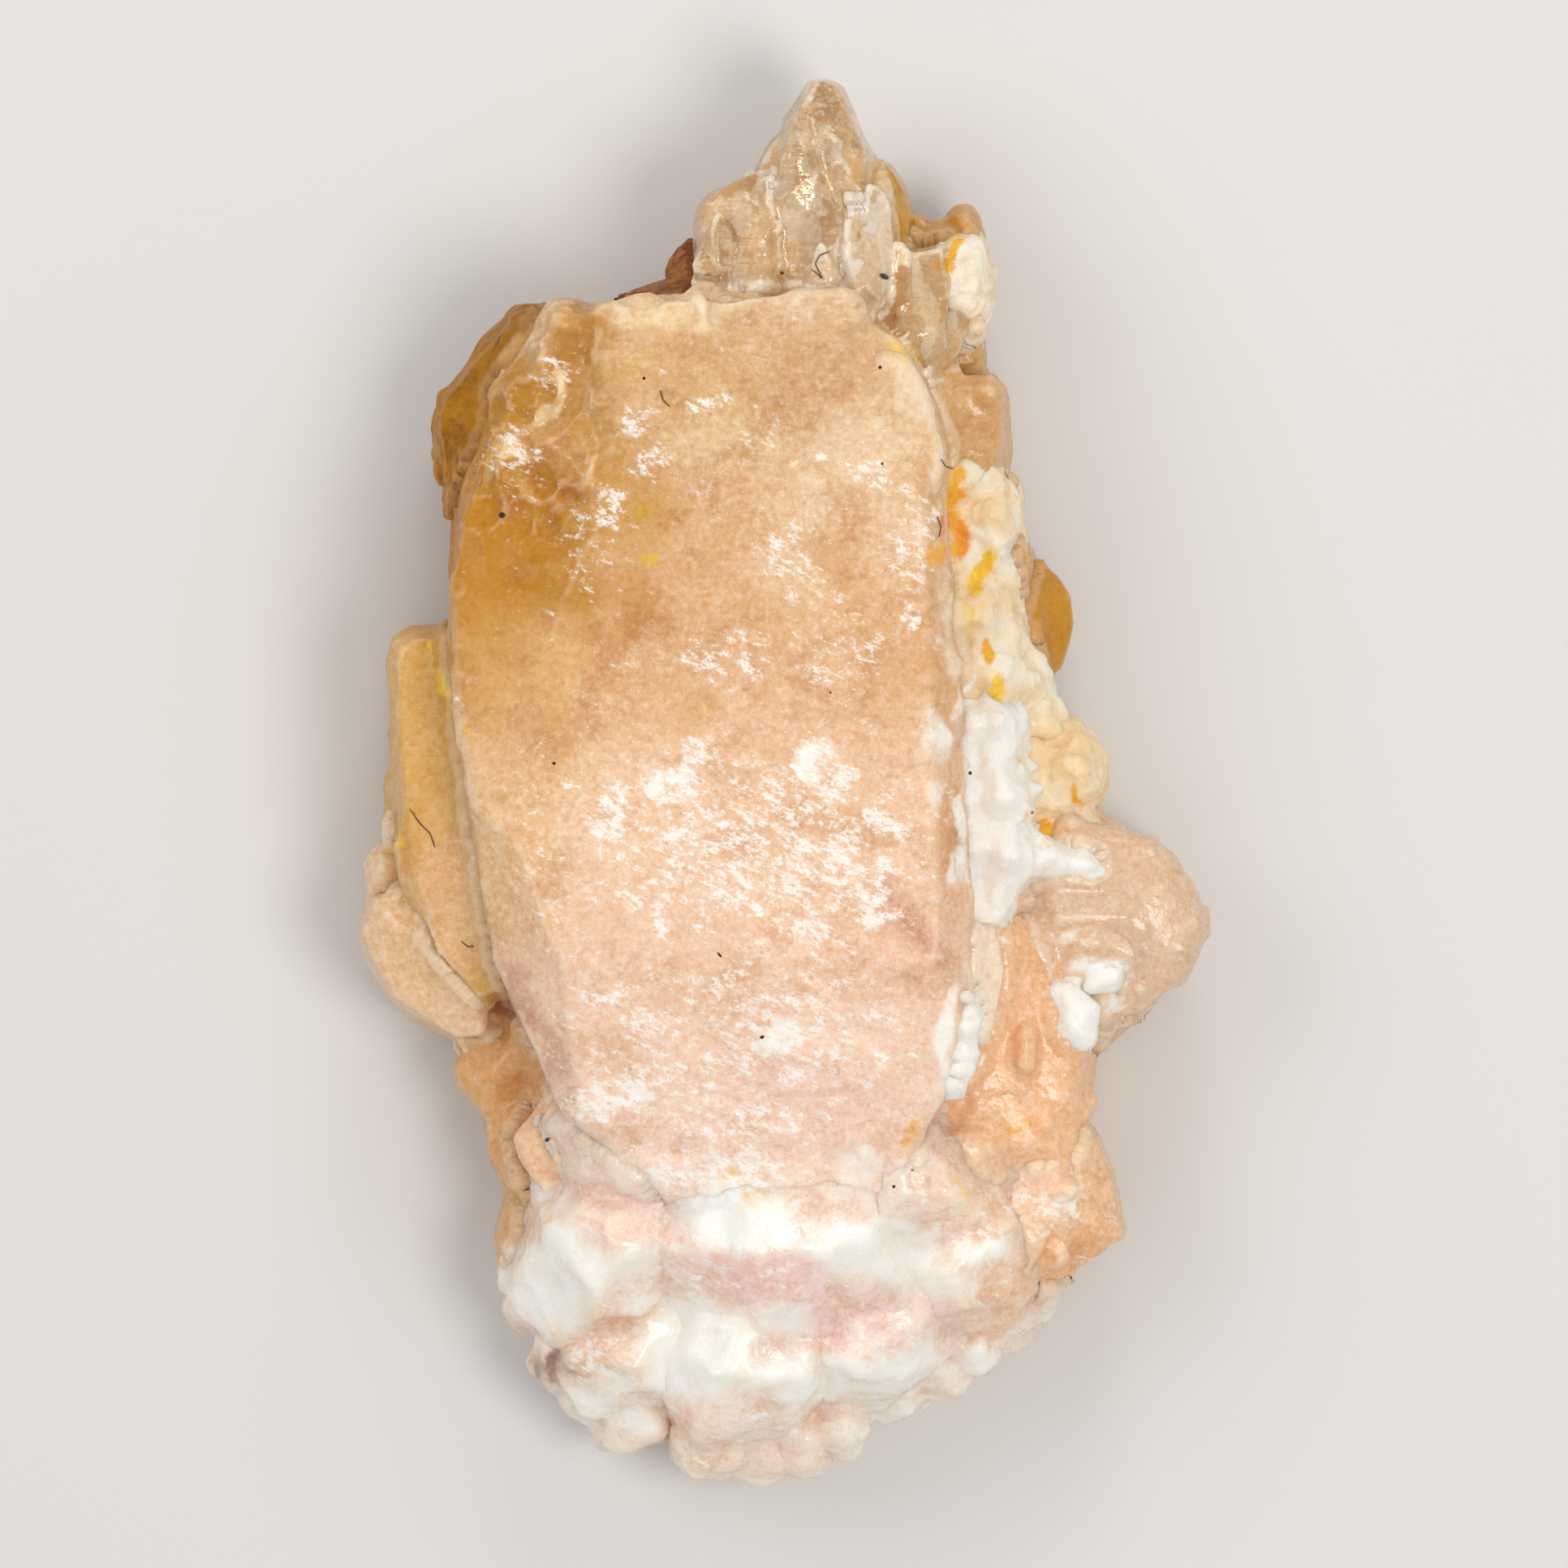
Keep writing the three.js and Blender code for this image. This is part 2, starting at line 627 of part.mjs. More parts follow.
// centre of each blunt crystal and its half sizes
const baseCrystals = [
  { at: [-7.2, -19.6, 4.8], size: [4.4, 4.8, 8] },
  { at: [-6.2, -23.8, 4], size: [4.2, 3.9, 6.6] },
  { at: [-1.6, -24.2, 4.6], size: [4.6, 4.5, 7.6] },
  { at: [3.2, -23.4, 4.4], size: [4.6, 3.9, 7] },
  { at: [7.6, -20, 4.6], size: [4.2, 4.2, 7.2] },
  { at: [0, -19.4, 5.2], size: [7.8, 5.6, 8.8] },
  { at: [5, -17, 5], size: [4.6, 4, 8.6] },
  { at: [-6.2, -15.8, 5], size: [4.4, 4, 8.2] },
];
// centre of each scallop seen from the front, and how far it reaches
const rimScallops = [
  [-10.7, -20.6, 1.7], [-10.4, -22.6, 1.8], [-9.4, -24.8, 1.8], [-8.2, -26.1, 1.8], [-6.6, -27.2, 2.0],
  [-3.1, -28.3, 2.1], [-1.1, -29, 1.65], [0.7, -28.4, 1.6], [2.4, -27.8, 1.5], [4.9, -26.3, 1.75], [6.7, -25.6, 1.5],
  [8.1, -24.5, 1.4], [9.6, -23, 1.55], [10.7, -22.1, 1.45],
];

function roseBase() {
  const foundation = slab({ outline: baseFlat, low: 0, high: 7, bevel: 1.6, under: 2.2 });
  const mass = baseCrystals.map((place, i) => blunt({ ...place, seed: 101 + i }));
  const rim = rimScallops.map(([x, y, reach], i) =>
    knob({ at: [x, y, 4.2 + (i % 3) * 0.5], size: [reach, reach, 3.1], seed: 120 + i, rough: 0.06 }),
  );
  return [foundation, ...mass, ...rim];
}

function rightPoint() {
  return [
    slab({
      outline: [
        [13.2, -15], [9.4, -14.6], [9, -21.6], [12.5, -21.4], [14, -20.1], [14.65, -19.7], [14.9, -19], [14.2, -17],
        [13.95, -15.7],
      ],
      low: 0.9,
      high: 9.6,
      lean: 0.03,
      bevel: 1.8,
      under: 2,
      facets: [[12, -17.6, 9.3, 0.6, 0.8, 0.4], [12, -18.6, 9.3, 0.8, -0.6, 0.5]],
    }),
    crystal({ base: [10.4, -17.4, 6.4], tip: [12.4, -17.5, 10.6], wide: 1.9, thick: 1.7, cap: 0.4, seed: 191 }),
    crystal({ base: [10, -19.4, 6], tip: [12.2, -20.4, 9.6], wide: 2.1, thick: 2, cap: 0.4, seed: 192 }),
  ];
}

// The small honey and smoky crystals below the flake
function leftCrystals() {
  return [
    slab({
      outline: [[-10, -8], [-12.4, -8.8], [-13.4, -10.6], [-14.2, -11.5], [-14.4, -12.3], [-14.2, -13.2], [-13, -14.6], [-9.4, -13.6]],
      low: 0.8,
      high: 8,
      bevel: 1.4,
      under: 1.6,
    }),
    slab({
      outline: [[-10.6, -13], [-12.4, -13.8], [-13, -14.7], [-12.8, -16], [-12.1, -17.9], [-10.2, -18]],
      low: 0.9,
      high: 8,
      bevel: 1.2,
      under: 1.6,
    }),
    slab({ outline: [[-10.6, -17.8], [-12.05, -18.05], [-12.35, -18.9], [-12.5, -20], [-12.2, -20.8], [-10.4, -21]], low: 1.2, high: 7, bevel: 1 }),
  ];
}

function peachCrystal() {
  return [
    slab({
      outline: [[-8.3, -14.3], [-8.6, -12.2], [-9.8, -12.4], [-11.2, -14.2], [-11.9, -15.2], [-11.6, -16.2], [-11, -17.3], [-8.6, -17.2]],
      low: 3,
      high: 10.4,
      bevel: 0.9,
      facets: [[-10, -15.4, 10.1, -0.8, -0.5, 0.3]],
    }),
  ];
}

const looks = {
  rose: { color: 0xe9b9a0, roughness: 0.3 },
  paleRose: { color: 0xf6dcd0, roughness: 0.35 },
  honey: { color: 0xe0b070, roughness: 0.3 },
  amber: { color: 0xb07a18, roughness: 0.35 },
  brown: { color: 0x8a5216, roughness: 0.6 },
  clear: { color: 0xe8dcc8, roughness: 0.12 },
  milky: { color: 0xf6f2ea, roughness: 0.5 },
  feldspar: { color: 0xf4e6cc, roughness: 0.6 },
  peach: { color: 0xeeba90, roughness: 0.35 },
};

// The pieces, oldest first: each is cut back from those above it.
const pieces = [
  ["main_crystal", "rose", mainCrystal],
  ["clear_point", "clear", clearPoint],
  ["front_column_crystals", "clear", frontColumn],
  ["shoulder_crystals", "clear", shoulderCrystal],
  ["clear_block", "clear", clearBlock],
  ["golden_shoulder_crystal", "honey", goldenShoulder],
  ["upper_feldspar", "feldspar", upperFeldspar],
  ["honey_knobs", "amber", honeyKnob],
  ["left_slab", "honey", leftSlab],
  ["left_flake", "paleRose", leftFlake],
  ["amber_plate", "amber", amberPlate],
  ["stained_ridge", "brown", stainedRidge],
  ["feldspar_blade", "feldspar", feldsparBlade],
  ["peach_blade", "peach", peachBlade],
  ["white_vein", "feldspar", whiteVein],
  ["feldspar_vein", "feldspar", feldsparVein],
  ["honey_block", "honey", honeyBlock],
  ["feldspar_knob", "feldspar", feldsparKnob],
  ["pink_side_crystal", "peach", pinkSideCrystal],
  ["golden_back_crystal", "amber", goldenBackCrystal],
  ["milky_block", "milky", milkyBlock],
  ["clear_lobe", "clear", clearLobe],
  ["peach_body", "peach", peachBody],
  ["lobe_foot", "honey", lobeFoot],
  ["right_point_crystal", "peach", rightPoint],
  ["peach_crystal", "peach", peachCrystal],
  ["left_crystals", "honey", leftCrystals],
  ["rose_base", "paleRose", roseBase],
];

// The rest plane: everything behind it is cut away flat.
const cutDepth = 40;
const behind = solidOf(
  new THREE.BoxGeometry(3 * clusterWidth, 3 * clusterLength, cutDepth).translate(0, 0, -cutDepth / 2),
);

function overlaps(a, b) {
  const [p, q] = [a.boundingBox(), b.boundingBox()];
  return [0, 1, 2].every((k) => p.min[k] < q.max[k] && q.min[k] < p.max[k]);
}

const cluster = new THREE.Group();
const older = [];
for (const [name, look, make] of pieces) {
  const shapes = make();
  let solid = joined(shapes, 0).subtract(behind);
  for (const grown of older) if (overlaps(grown, solid)) solid = solid.subtract(grown);
  const mesh = new THREE.Mesh(geometryOf(largest(solid)), new THREE.MeshStandardMaterial(looks[look]));
  mesh.name = name;
  cluster.add(mesh);
  older.push(joined(shapes, growthGap));
}

// The origin is in the middle of the outline, on the rest plane.
const bounds = new THREE.Box3().setFromObject(cluster);
const middle = bounds.getCenter(new THREE.Vector3());
cluster.children.forEach((mesh) => mesh.position.set(-middle.x, -middle.y, 0));

export default cluster;
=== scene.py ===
import math
import bmesh
import bpy
import numpy as np
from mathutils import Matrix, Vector


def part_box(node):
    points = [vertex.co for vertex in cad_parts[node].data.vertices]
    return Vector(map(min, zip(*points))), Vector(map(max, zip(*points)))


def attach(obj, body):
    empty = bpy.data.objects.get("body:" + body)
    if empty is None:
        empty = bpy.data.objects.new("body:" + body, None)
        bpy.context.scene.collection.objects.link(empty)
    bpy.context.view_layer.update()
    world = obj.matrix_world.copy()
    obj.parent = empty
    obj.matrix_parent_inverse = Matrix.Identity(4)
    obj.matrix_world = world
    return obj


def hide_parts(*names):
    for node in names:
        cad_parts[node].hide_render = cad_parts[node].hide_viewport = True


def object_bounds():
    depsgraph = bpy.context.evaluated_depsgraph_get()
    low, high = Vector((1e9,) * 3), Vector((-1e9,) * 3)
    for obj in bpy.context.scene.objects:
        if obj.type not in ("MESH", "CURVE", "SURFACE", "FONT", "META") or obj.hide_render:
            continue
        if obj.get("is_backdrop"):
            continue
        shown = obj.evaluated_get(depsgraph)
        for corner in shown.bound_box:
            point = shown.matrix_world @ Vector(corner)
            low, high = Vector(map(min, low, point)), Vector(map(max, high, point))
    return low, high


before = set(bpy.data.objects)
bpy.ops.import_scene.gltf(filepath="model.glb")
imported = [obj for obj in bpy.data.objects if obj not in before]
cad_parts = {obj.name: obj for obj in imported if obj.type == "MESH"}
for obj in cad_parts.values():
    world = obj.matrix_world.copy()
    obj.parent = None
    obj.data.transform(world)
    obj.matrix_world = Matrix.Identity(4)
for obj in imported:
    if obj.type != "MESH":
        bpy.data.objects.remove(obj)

# A rose quartz cluster that lies on its flat back, seen from straight above. Every crystal is the CAD solid of the
# same place with worn edges, broken faces and grown-in seams, and its colours are kept at its points.
# Lengths in the dictionaries are millimetres, and x, y are where a thing is seen from above.
mm = 0.001
cadLow, cadHigh = (np.array(c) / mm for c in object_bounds())

stage = {
    "floorColour": (0.74, 0.725, 0.70, 1),
    "worldColour": (0.98, 0.985, 1.0, 1),
    "worldStrength": 0.53,
    "viewWidth": 67.62,      # what the picture takes in, at the height focusHeight
    "focusHeight": 8,
    "middle": (0.03, 0.03),  # the point that the camera looks down on
    "lens": 220,
    "sensor": 36,
    "floorSize": 1200,
    "lights": [  # name, place, size, watts, colour
        ("key", (95, -40, 255), 100, 0.258, (1.0, 0.985, 0.96)),
        ("fill", (-170, 70, 200), 160, 0.15, (0.98, 0.99, 1.0)),
        ("top", (20, 190, 130), 90, 0.09, (1.0, 0.98, 0.95)),
    ],
}


# Chance and relief, on whole arrays of points

def cellChance(cells, seed):
    # a hash of whole-number cells, from 0 to 1
    h = (cells[..., 0] * 73856093) ^ (cells[..., 1] * 19349663) ^ (cells[..., 2] * 83492791) ^ (seed * 39916801)
    h = (h ^ (h >> 13)) & 0x7FFFFFFF
    h = (h * 1274126177) & 0x7FFFFFFF
    h = (h ^ (h >> 15)) & 0x7FFFFFFF
    h = (h * 2654435 + 1013904223) & 0x7FFFFFFF
    return ((h ^ (h >> 11)) & 0xFFFFF) / 0xFFFFF


def softNoise(points, size, seed):
    # chance at the corners of a lattice, blended smoothly between them, from -1 to 1
    p = points / size
    cell = np.floor(p).astype(np.int64)
    f = p - cell
    f = f * f * (3 - 2 * f)
    total = np.zeros(len(points))
    for corner in np.ndindex(2, 2, 2):
        weight = np.prod(np.where(np.array(corner) == 1, f, 1 - f), axis=1)
        total += weight * cellChance(cell + np.array(corner), seed)
    return 2 * total - 1


def roughNoise(points, size, seed, octaves=3):
    # softNoise summed at sizes that halve, each half as strong
    total = sum(softNoise(points, size / 2 ** k, seed + 17 * k) / 2 ** k for k in range(octaves))
    return total / (2 - 2 ** (1 - octaves))


def facetNoise(points, size, seed):
    # broken faces that meet in sharp ridges: round each of many scattered centres lies a tilted, slightly hollow
    # face, chance + tilt . offset + 0.55 offset^2, and the lowest face counts
    p = points / size
    cell = np.floor(p).astype(np.int64)
    lowest = np.full(len(points), 1e9)
    for step in np.ndindex(3, 3, 3):
        near = cell + np.array(step) - 1
        centre = near + np.stack([cellChance(near, seed + k) for k in range(3)], axis=1)
        tilt = np.stack([cellChance(near, seed + 7 + k) for k in range(3)], axis=1) - 0.5
        offset = p - centre
        face = 0.6 * cellChance(near, seed + 3) + (offset * tilt).sum(axis=1) + 0.55 * (offset ** 2).sum(axis=1)
        lowest = np.minimum(lowest, face)
    return lowest - 0.25


def smoothStep(low, high, value):
    t = np.clip((value - low) / (high - low), 0, 1)
    return t * t * (3 - 2 * t)


def spotShare(points, x, y, wide, tall, turn=0, soft=0.3):
    # 1 inside an ellipse seen from above, falling to 0 over its soft rim
    a = math.radians(turn)
    u = ((points[:, 0] - x) * math.cos(a) + (points[:, 1] - y) * math.sin(a)) / wide
    v = ((points[:, 1] - y) * math.cos(a) - (points[:, 0] - x) * math.sin(a)) / tall
    return 1 - smoothStep(1 - soft, 1 + soft, np.hypot(u, v))


# Meshes

def meshFrom(name, points, faces):
    # a mesh from an array of points in mm and a list of faces
    mesh = bpy.data.meshes.new(name)
    mesh.from_pydata((points * mm).tolist(), [], faces)
    mesh.update()
    return mesh


def addPiece(name, mesh, material, nodes=()):
    # a visible piece of the cluster, in place of the CAD nodes given
    piece = bpy.data.objects.new(name, mesh)
    bpy.context.scene.collection.objects.link(piece)
    mesh.materials.clear()
    mesh.materials.append(material)
    mesh.shade_smooth()
    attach(piece, "root")
    if nodes:
        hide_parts(*nodes)
    return piece


def fusedCopy(node, voxel, fill=0.0):
    # the node's mesh with its doubles merged, rebuilt on a fine even grid of faces; its grooves are filled by moving
    # the skin out by fill, rebuilding it and moving it back
    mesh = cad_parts[node].data.copy()
    work = bmesh.new()
    work.from_mesh(mesh)
    bmesh.ops.remove_doubles(work, verts=work.verts, dist=1e-6)
    work.to_mesh(mesh)
    work.free()
    carrier = bpy.data.objects.new("work", mesh)
    bpy.context.scene.collection.objects.link(carrier)
    steps = [("REMESH", voxel)]
    if fill:
        steps += [("DISPLACE", fill), ("REMESH", voxel), ("DISPLACE", -fill), ("REMESH", voxel)]
    for kind, value in steps:
        change = carrier.modifiers.new(kind, kind)
        if kind == "REMESH":
            change.mode, change.voxel_size = "VOXEL", value * mm
        else:
            change.mid_level, change.strength = 0, value * mm
    fine = bpy.data.meshes.new_from_object(carrier.evaluated_get(bpy.context.evaluated_depsgraph_get()))
    bpy.data.objects.remove(carrier)
    bpy.data.meshes.remove(mesh)
    return fine


def pointsOf(mesh, kind="co"):
    # the points of a mesh in metres, or their normals, a row each
    values = np.empty(len(mesh.vertices) * 3)
    mesh.vertices.foreach_get(kind, values)
    return values.reshape(-1, 3)


def edgesOf(mesh):
    # the two ends of every edge, a row each
    values = np.empty(len(mesh.edges) * 2, dtype=np.int64)
    mesh.edges.foreach_get("vertices", values)
    return values.reshape(-1, 2)


def eased(values, edges, rounds):
    # each row moves half way to the mean of its neighbours' rows, rounds times
    count = len(values)
    ends = np.concatenate([edges, edges[:, ::-1]])
    neighbours = np.maximum(np.bincount(ends[:, 0], minlength=count), 1)[:, None]
    for _ in range(rounds):
        total = np.stack([np.bincount(ends[:, 0], weights=column[ends[:, 1]], minlength=count)
                          for column in values.T], axis=1)
        values = 0.5 * values + 0.5 * total / neighbours
    return values


# Seams: the solids leave small gaps, and the crystals here grow until they meet

seams = {
    "cell": 0.3,              # the grid that tells which crystal is where
    "margin": 4,              # spare cells on each side
    "voxel": 0.22,            # how finely the solids are laid into it
    "furthest": 1.05,         # gaps up to this wide are closed
    "step": 0.15,
    "share": 0.6,             # how much of the gap each side takes
    "beside": (0.35, 0.7),    # how far out a crystal looks for what stands beside it
    "height": 0.3,            # and how far up
    "enough": 5,              # places met there that count as fully beside
}


def seamCell(points):
    # the grid's cell that each point is in
    return tuple((((points - cadLow) / seams["cell"]).astype(int) + seams["margin"]).T)


def seamGrid():
    # small cells over the whole cluster; each holds one bit for every node whose surface passes through it
    count = np.ceil((cadHigh - cadLow) / seams["cell"]).astype(int) + 2 * seams["margin"] + 1
    grid, bits = np.zeros(count, dtype=np.int64), {}
    for number, node in enumerate(sorted(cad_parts)):
        mesh = fusedCopy(node, seams["voxel"])
        bits[node] = 1 << number
        np.bitwise_or.at(grid, seamCell(pointsOf(mesh) / mm), bits[node])
        bpy.data.meshes.remove(mesh)
    return grid, bits


def seamReach(points, normals, node):
    # how far along its normal each point meets another node's surface, and 0 where it meets none
    reach = np.zeros(len(points))
    for away in np.arange(seams["furthest"], 0.1, -seams["step"]):
        met = (nodeGrid[seamCell(points + normals * away)] & ~nodeBits[node]) != 0
        reach = np.where(met, away, reach)
    return reach


def seamRise(points, normals, node):
    # how much of another node stands beside each point that faces up, as a share of the places looked at
    met = np.zeros(len(points))
    for turn in np.arange(8) * np.pi / 4:
        for away in seams["beside"]:
            shift = np.array([np.cos(turn) * away, np.sin(turn) * away, seams["height"]])
            met += (nodeGrid[seamCell(points + shift)] & ~nodeBits[node]) != 0
    return np.clip(met / seams["enough"], 0, 1) * smoothStep(0.2, 0.7, normals[:, 2])


nodeGrid, nodeBits = seamGrid()
topCell = 0.25
topOf = np.full(np.ceil((cadHigh - cadLow)[:2] / topCell).astype(int) + 3, -1.0)  # the highest point in each cell
edgeHeight, ridgeHeight = 0.12, 0.05  # how far an edge and a ridge stand out from the eased surface
print("seams: neighbours found")


def wornCrystal(name, material, look):
    # the node's shape with its edges eased, and relief along its normals:
    # height = growth + wave x rough noise + grain x fine noise + chips x broken faces, strongest on the edges,
    #          + sideChips x wide broken faces on the side walls + extra(points)
    # growth = the larger of swell and share x gap + overlap, + rise beside a neighbour
    node, seed = look["node"], look["seed"]
    mesh = fusedCopy(node, look["voxel"], look["fill"])
    edges = edgesOf(mesh)
    points, normals = pointsOf(mesh) / mm, pointsOf(mesh, "normal")
    edge = np.clip(((points - eased(points, edges, 12)) * normals).sum(axis=1) / edgeHeight, 0, 1)
    points = eased(points, edges, look["ease"])
    mesh.vertices.foreach_set("co", (points * mm).ravel())
    mesh.update()
    normals = pointsOf(mesh, "normal")
    reach = seamReach(points, normals, node)
    grown = np.where(reach > 0, reach * seams["share"] + look["overlap"], look["swell"])
    grown = np.maximum(grown, look["swell"]) + look["rise"] * seamRise(points, normals, node)
    height = eased(grown[:, None], edges, 6)[:, 0]
    height += look["wave"] * roughNoise(points, look["waveSize"], seed)
    height += look["grain"] * roughNoise(points, look["grainSize"], seed + 50)
    where = look["flatChips"] + (1 - look["flatChips"]) * edge
    height += look["chips"] * facetNoise(points, look["chipSize"], seed + 90) * where
    side = 1 - smoothStep(0.3, 0.8, normals[:, 2])
    height += look["sideChips"] * facetNoise(points, look["sideSize"], seed + 130) * side
    if "extra" in look:
        height += look["extra"](points)
    points = np.clip(points + normals * height[:, None], cadLow, cadHigh)
    mesh.vertices.foreach_set("co", (points * mm).ravel())
    mesh.update()
    proud = ((points - eased(points, edges, 5)) * pointsOf(mesh, "normal")).sum(axis=1)
    paintZones(mesh, points, np.clip(proud / ridgeHeight, 0, 1), look)
    square = ((points - cadLow)[:, :2] / topCell).astype(int)
    np.maximum.at(topOf, tuple(square.T), points[:, 2])
    print(name + ":", len(mesh.polygons), "faces")
    return addPiece(name, mesh, material, [node])


# Shader maths

class Field:
    # a number that changes over the surface; arithmetic on it adds Math nodes
    def __init__(self, net, socket):
        self.net, self.socket = net, socket

    def other(self, number):
        # another output of the same node
        return Field(self.net, self.socket.node.outputs[number])

    def __add__(self, other): return self.net.maths("ADD", self, other)
    def __radd__(self, other): return self.net.maths("ADD", other, self)
    def __sub__(self, other): return self.net.maths("SUBTRACT", self, other)
    def __rsub__(self, other): return self.net.maths("SUBTRACT", other, self)
    def __mul__(self, other): return self.net.maths("MULTIPLY", self, other)
    def __rmul__(self, other): return self.net.maths("MULTIPLY", other, self)


class Net:
    # one material and its nodes
    def __init__(self, name):
        self.material = bpy.data.materials.new(name)
        self.material.use_nodes = True
        self.tree = self.material.node_tree
        self.tree.nodes.clear()
        self.output = self.tree.nodes.new("ShaderNodeOutputMaterial")

    def put(self, kind, settings=None, out=0, **values):
        # a node with its settings, then its sockets: i3 is the socket number 3, Base_Color the one called Base Color
        node = self.tree.nodes.new(kind)
        for key, value in (settings or {}).items():
            setattr(node, key, value)
        for key, value in values.items():
            self.feed(node.inputs[int(key[1:])] if key[0] == "i" and key[1:].isdigit() else
                      node.inputs[key.replace("_", " ")], value)
        return Field(self, node.outputs[out])

    def feed(self, socket, value):
        if isinstance(value, Field):
            self.tree.links.new(value.socket, socket)
        else:
            socket.default_value = value

    def finish(self, shader):
        # the shader goes to the surface, and the material is done
        self.tree.links.new(shader.socket, self.output.inputs["Surface"])
        return self.material

    def maths(self, operation, a, b):
        return self.put("ShaderNodeMath", {"operation": operation}, i0=a, i1=b)

    def vector(self, operation, a, b, out=0):
        return self.put("ShaderNodeVectorMath", {"operation": operation}, out=out, i0=a, i1=b)

    def mix(self, share, a, b, kind="MIX"):
        # the three colour sockets of a Mix node are its 7th, 8th and the 3rd output
        return self.put("ShaderNodeMix", {"data_type": "RGBA", "blend_type": kind}, out=2, i0=share, i6=a, i7=b)

    def shaded(self, share, colour, by):
        # the colour multiplied by another, as far as the share goes
        return self.mix(share, colour, self.mix(1.0, colour, by, "MULTIPLY"))

    def ramp(self, value, low, high, toLow=0.0, toHigh=1.0):
        # from toLow at low to toHigh at high, smoothly
        return self.put("ShaderNodeMapRange", {"interpolation_type": "SMOOTHSTEP"},
                        i0=value, i1=low, i2=high, i3=toLow, i4=toHigh)

    def noise(self, place, size, detail=3.0, rough=0.55, out=0):
        return self.put("ShaderNodeTexNoise", {"noise_dimensions": "3D"}, out=out, Vector=place, Scale=1 / size,
                        Detail=detail, Roughness=rough)

    def part(self, value, number):
        # x, y or z of a vector, or red, green or blue of a colour
        return self.put("ShaderNodeSeparateXYZ", out=number, Vector=value)

    def kept(self, name):
        # a colour kept at the mesh's points
        return self.put("ShaderNodeAttribute", {"attribute_name": name})

    def cells(self, place, size):
        # distance to the nearest scattered centre; output 1 is that cell's chance colour, 2 is where its centre is
        return self.put("ShaderNodeTexVoronoi", Vector=place, Scale=1 / size)

    def stretched(self, place, wide, tall, turn=0, deep=1.0, x=0, y=0):
        # place measured in units of wide and tall along axes turned by turn degrees
        return self.put("ShaderNodeMapping", {"vector_type": "TEXTURE"}, Vector=place, Location=(x, y, 0),
                        Rotation=(0, 0, math.radians(turn)), Scale=(wide, tall, deep))

    def spot(self, place, x, y, wide, tall, turn=0, soft=0.35):
        # 1 inside an ellipse seen from above, falling to 0 over its soft rim
        away = self.stretched(place, wide, tall, turn, 1e5, x, y)
        return self.ramp(self.vector("LENGTH", away, (0, 0, 0), out=1), 1 + soft, 1 - soft)


# Floor, light and camera

def plainMaterial(name, colour, rough):
    net = Net(name)
    shader = net.put("ShaderNodeBsdfPrincipled", Base_Color=colour, Roughness=rough)
    return net.finish(shader)


def setTheStage():
    corners = np.array([(-0.5, -0.5, 0), (0.5, -0.5, 0), (0.5, 0.5, 0), (-0.5, 0.5, 0)]) * stage["floorSize"]
    floor = bpy.data.objects.new("floor", meshFrom("floor", corners, [(0, 1, 2, 3)]))
    bpy.context.scene.collection.objects.link(floor)
    floor.data.materials.append(plainMaterial("paleFloor", stage["floorColour"], 0.7))
    floor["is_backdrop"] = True
    world = bpy.data.worlds.new("studio")
    bpy.context.scene.world = world
    world.use_nodes = True
    sky = world.node_tree.nodes["Background"]
    sky.inputs["Color"].default_value = stage["worldColour"]
    sky.inputs["Strength"].default_value = stage["worldStrength"]
    for name, place, size, watts, colour in stage["lights"]:
        lamp = bpy.data.lights.new(name, "AREA")
        lamp.shape, lamp.size, lamp.energy, lamp.color = "DISK", size * mm, watts, colour
        light = bpy.data.objects.new(name, lamp)
        light.location = Vector(place) * mm
        light.rotation_euler = (-light.location).to_track_quat("-Z", "Y").to_euler()
        bpy.context.scene.collection.objects.link(light)
    lens = bpy.data.cameras.new("camera")
    lens.lens, lens.sensor_width = stage["lens"], stage["sensor"]
    lens.clip_start, lens.clip_end = 0.01, 5
    camera = bpy.data.objects.new("camera", lens)
    bpy.context.scene.collection.objects.link(camera)
    height = stage["focusHeight"] + stage["viewWidth"] * stage["lens"] / stage["sensor"]
    camera.location = [distance * mm for distance in (*stage["middle"], height)]
    bpy.context.scene.camera = camera
    bpy.context.scene.view_settings.view_transform = "Standard"
    print("stage: floor, lights and camera set")


setTheStage()

# Colours and where they lie

def tone(red, green, blue, alpha=1.0):
    # a colour as it looks on a screen, 0 to 255, turned into the light values that nodes use
    values = np.array([red, green, blue]) / 255
    linear = np.where(values <= 0.04045, values / 12.92, ((values + 0.055) / 1.055) ** 2.4)
    return (*linear.tolist(), alpha)


# Patches of colour, shared by all crystals so that they run on across the seams
gold, amber, orange, yellow = (190, 128, 10), (163, 107, 6), (246, 178, 34), (250, 206, 60)
white, rose, pink = (252, 248, 238), (206, 150, 118), (254, 218, 212)

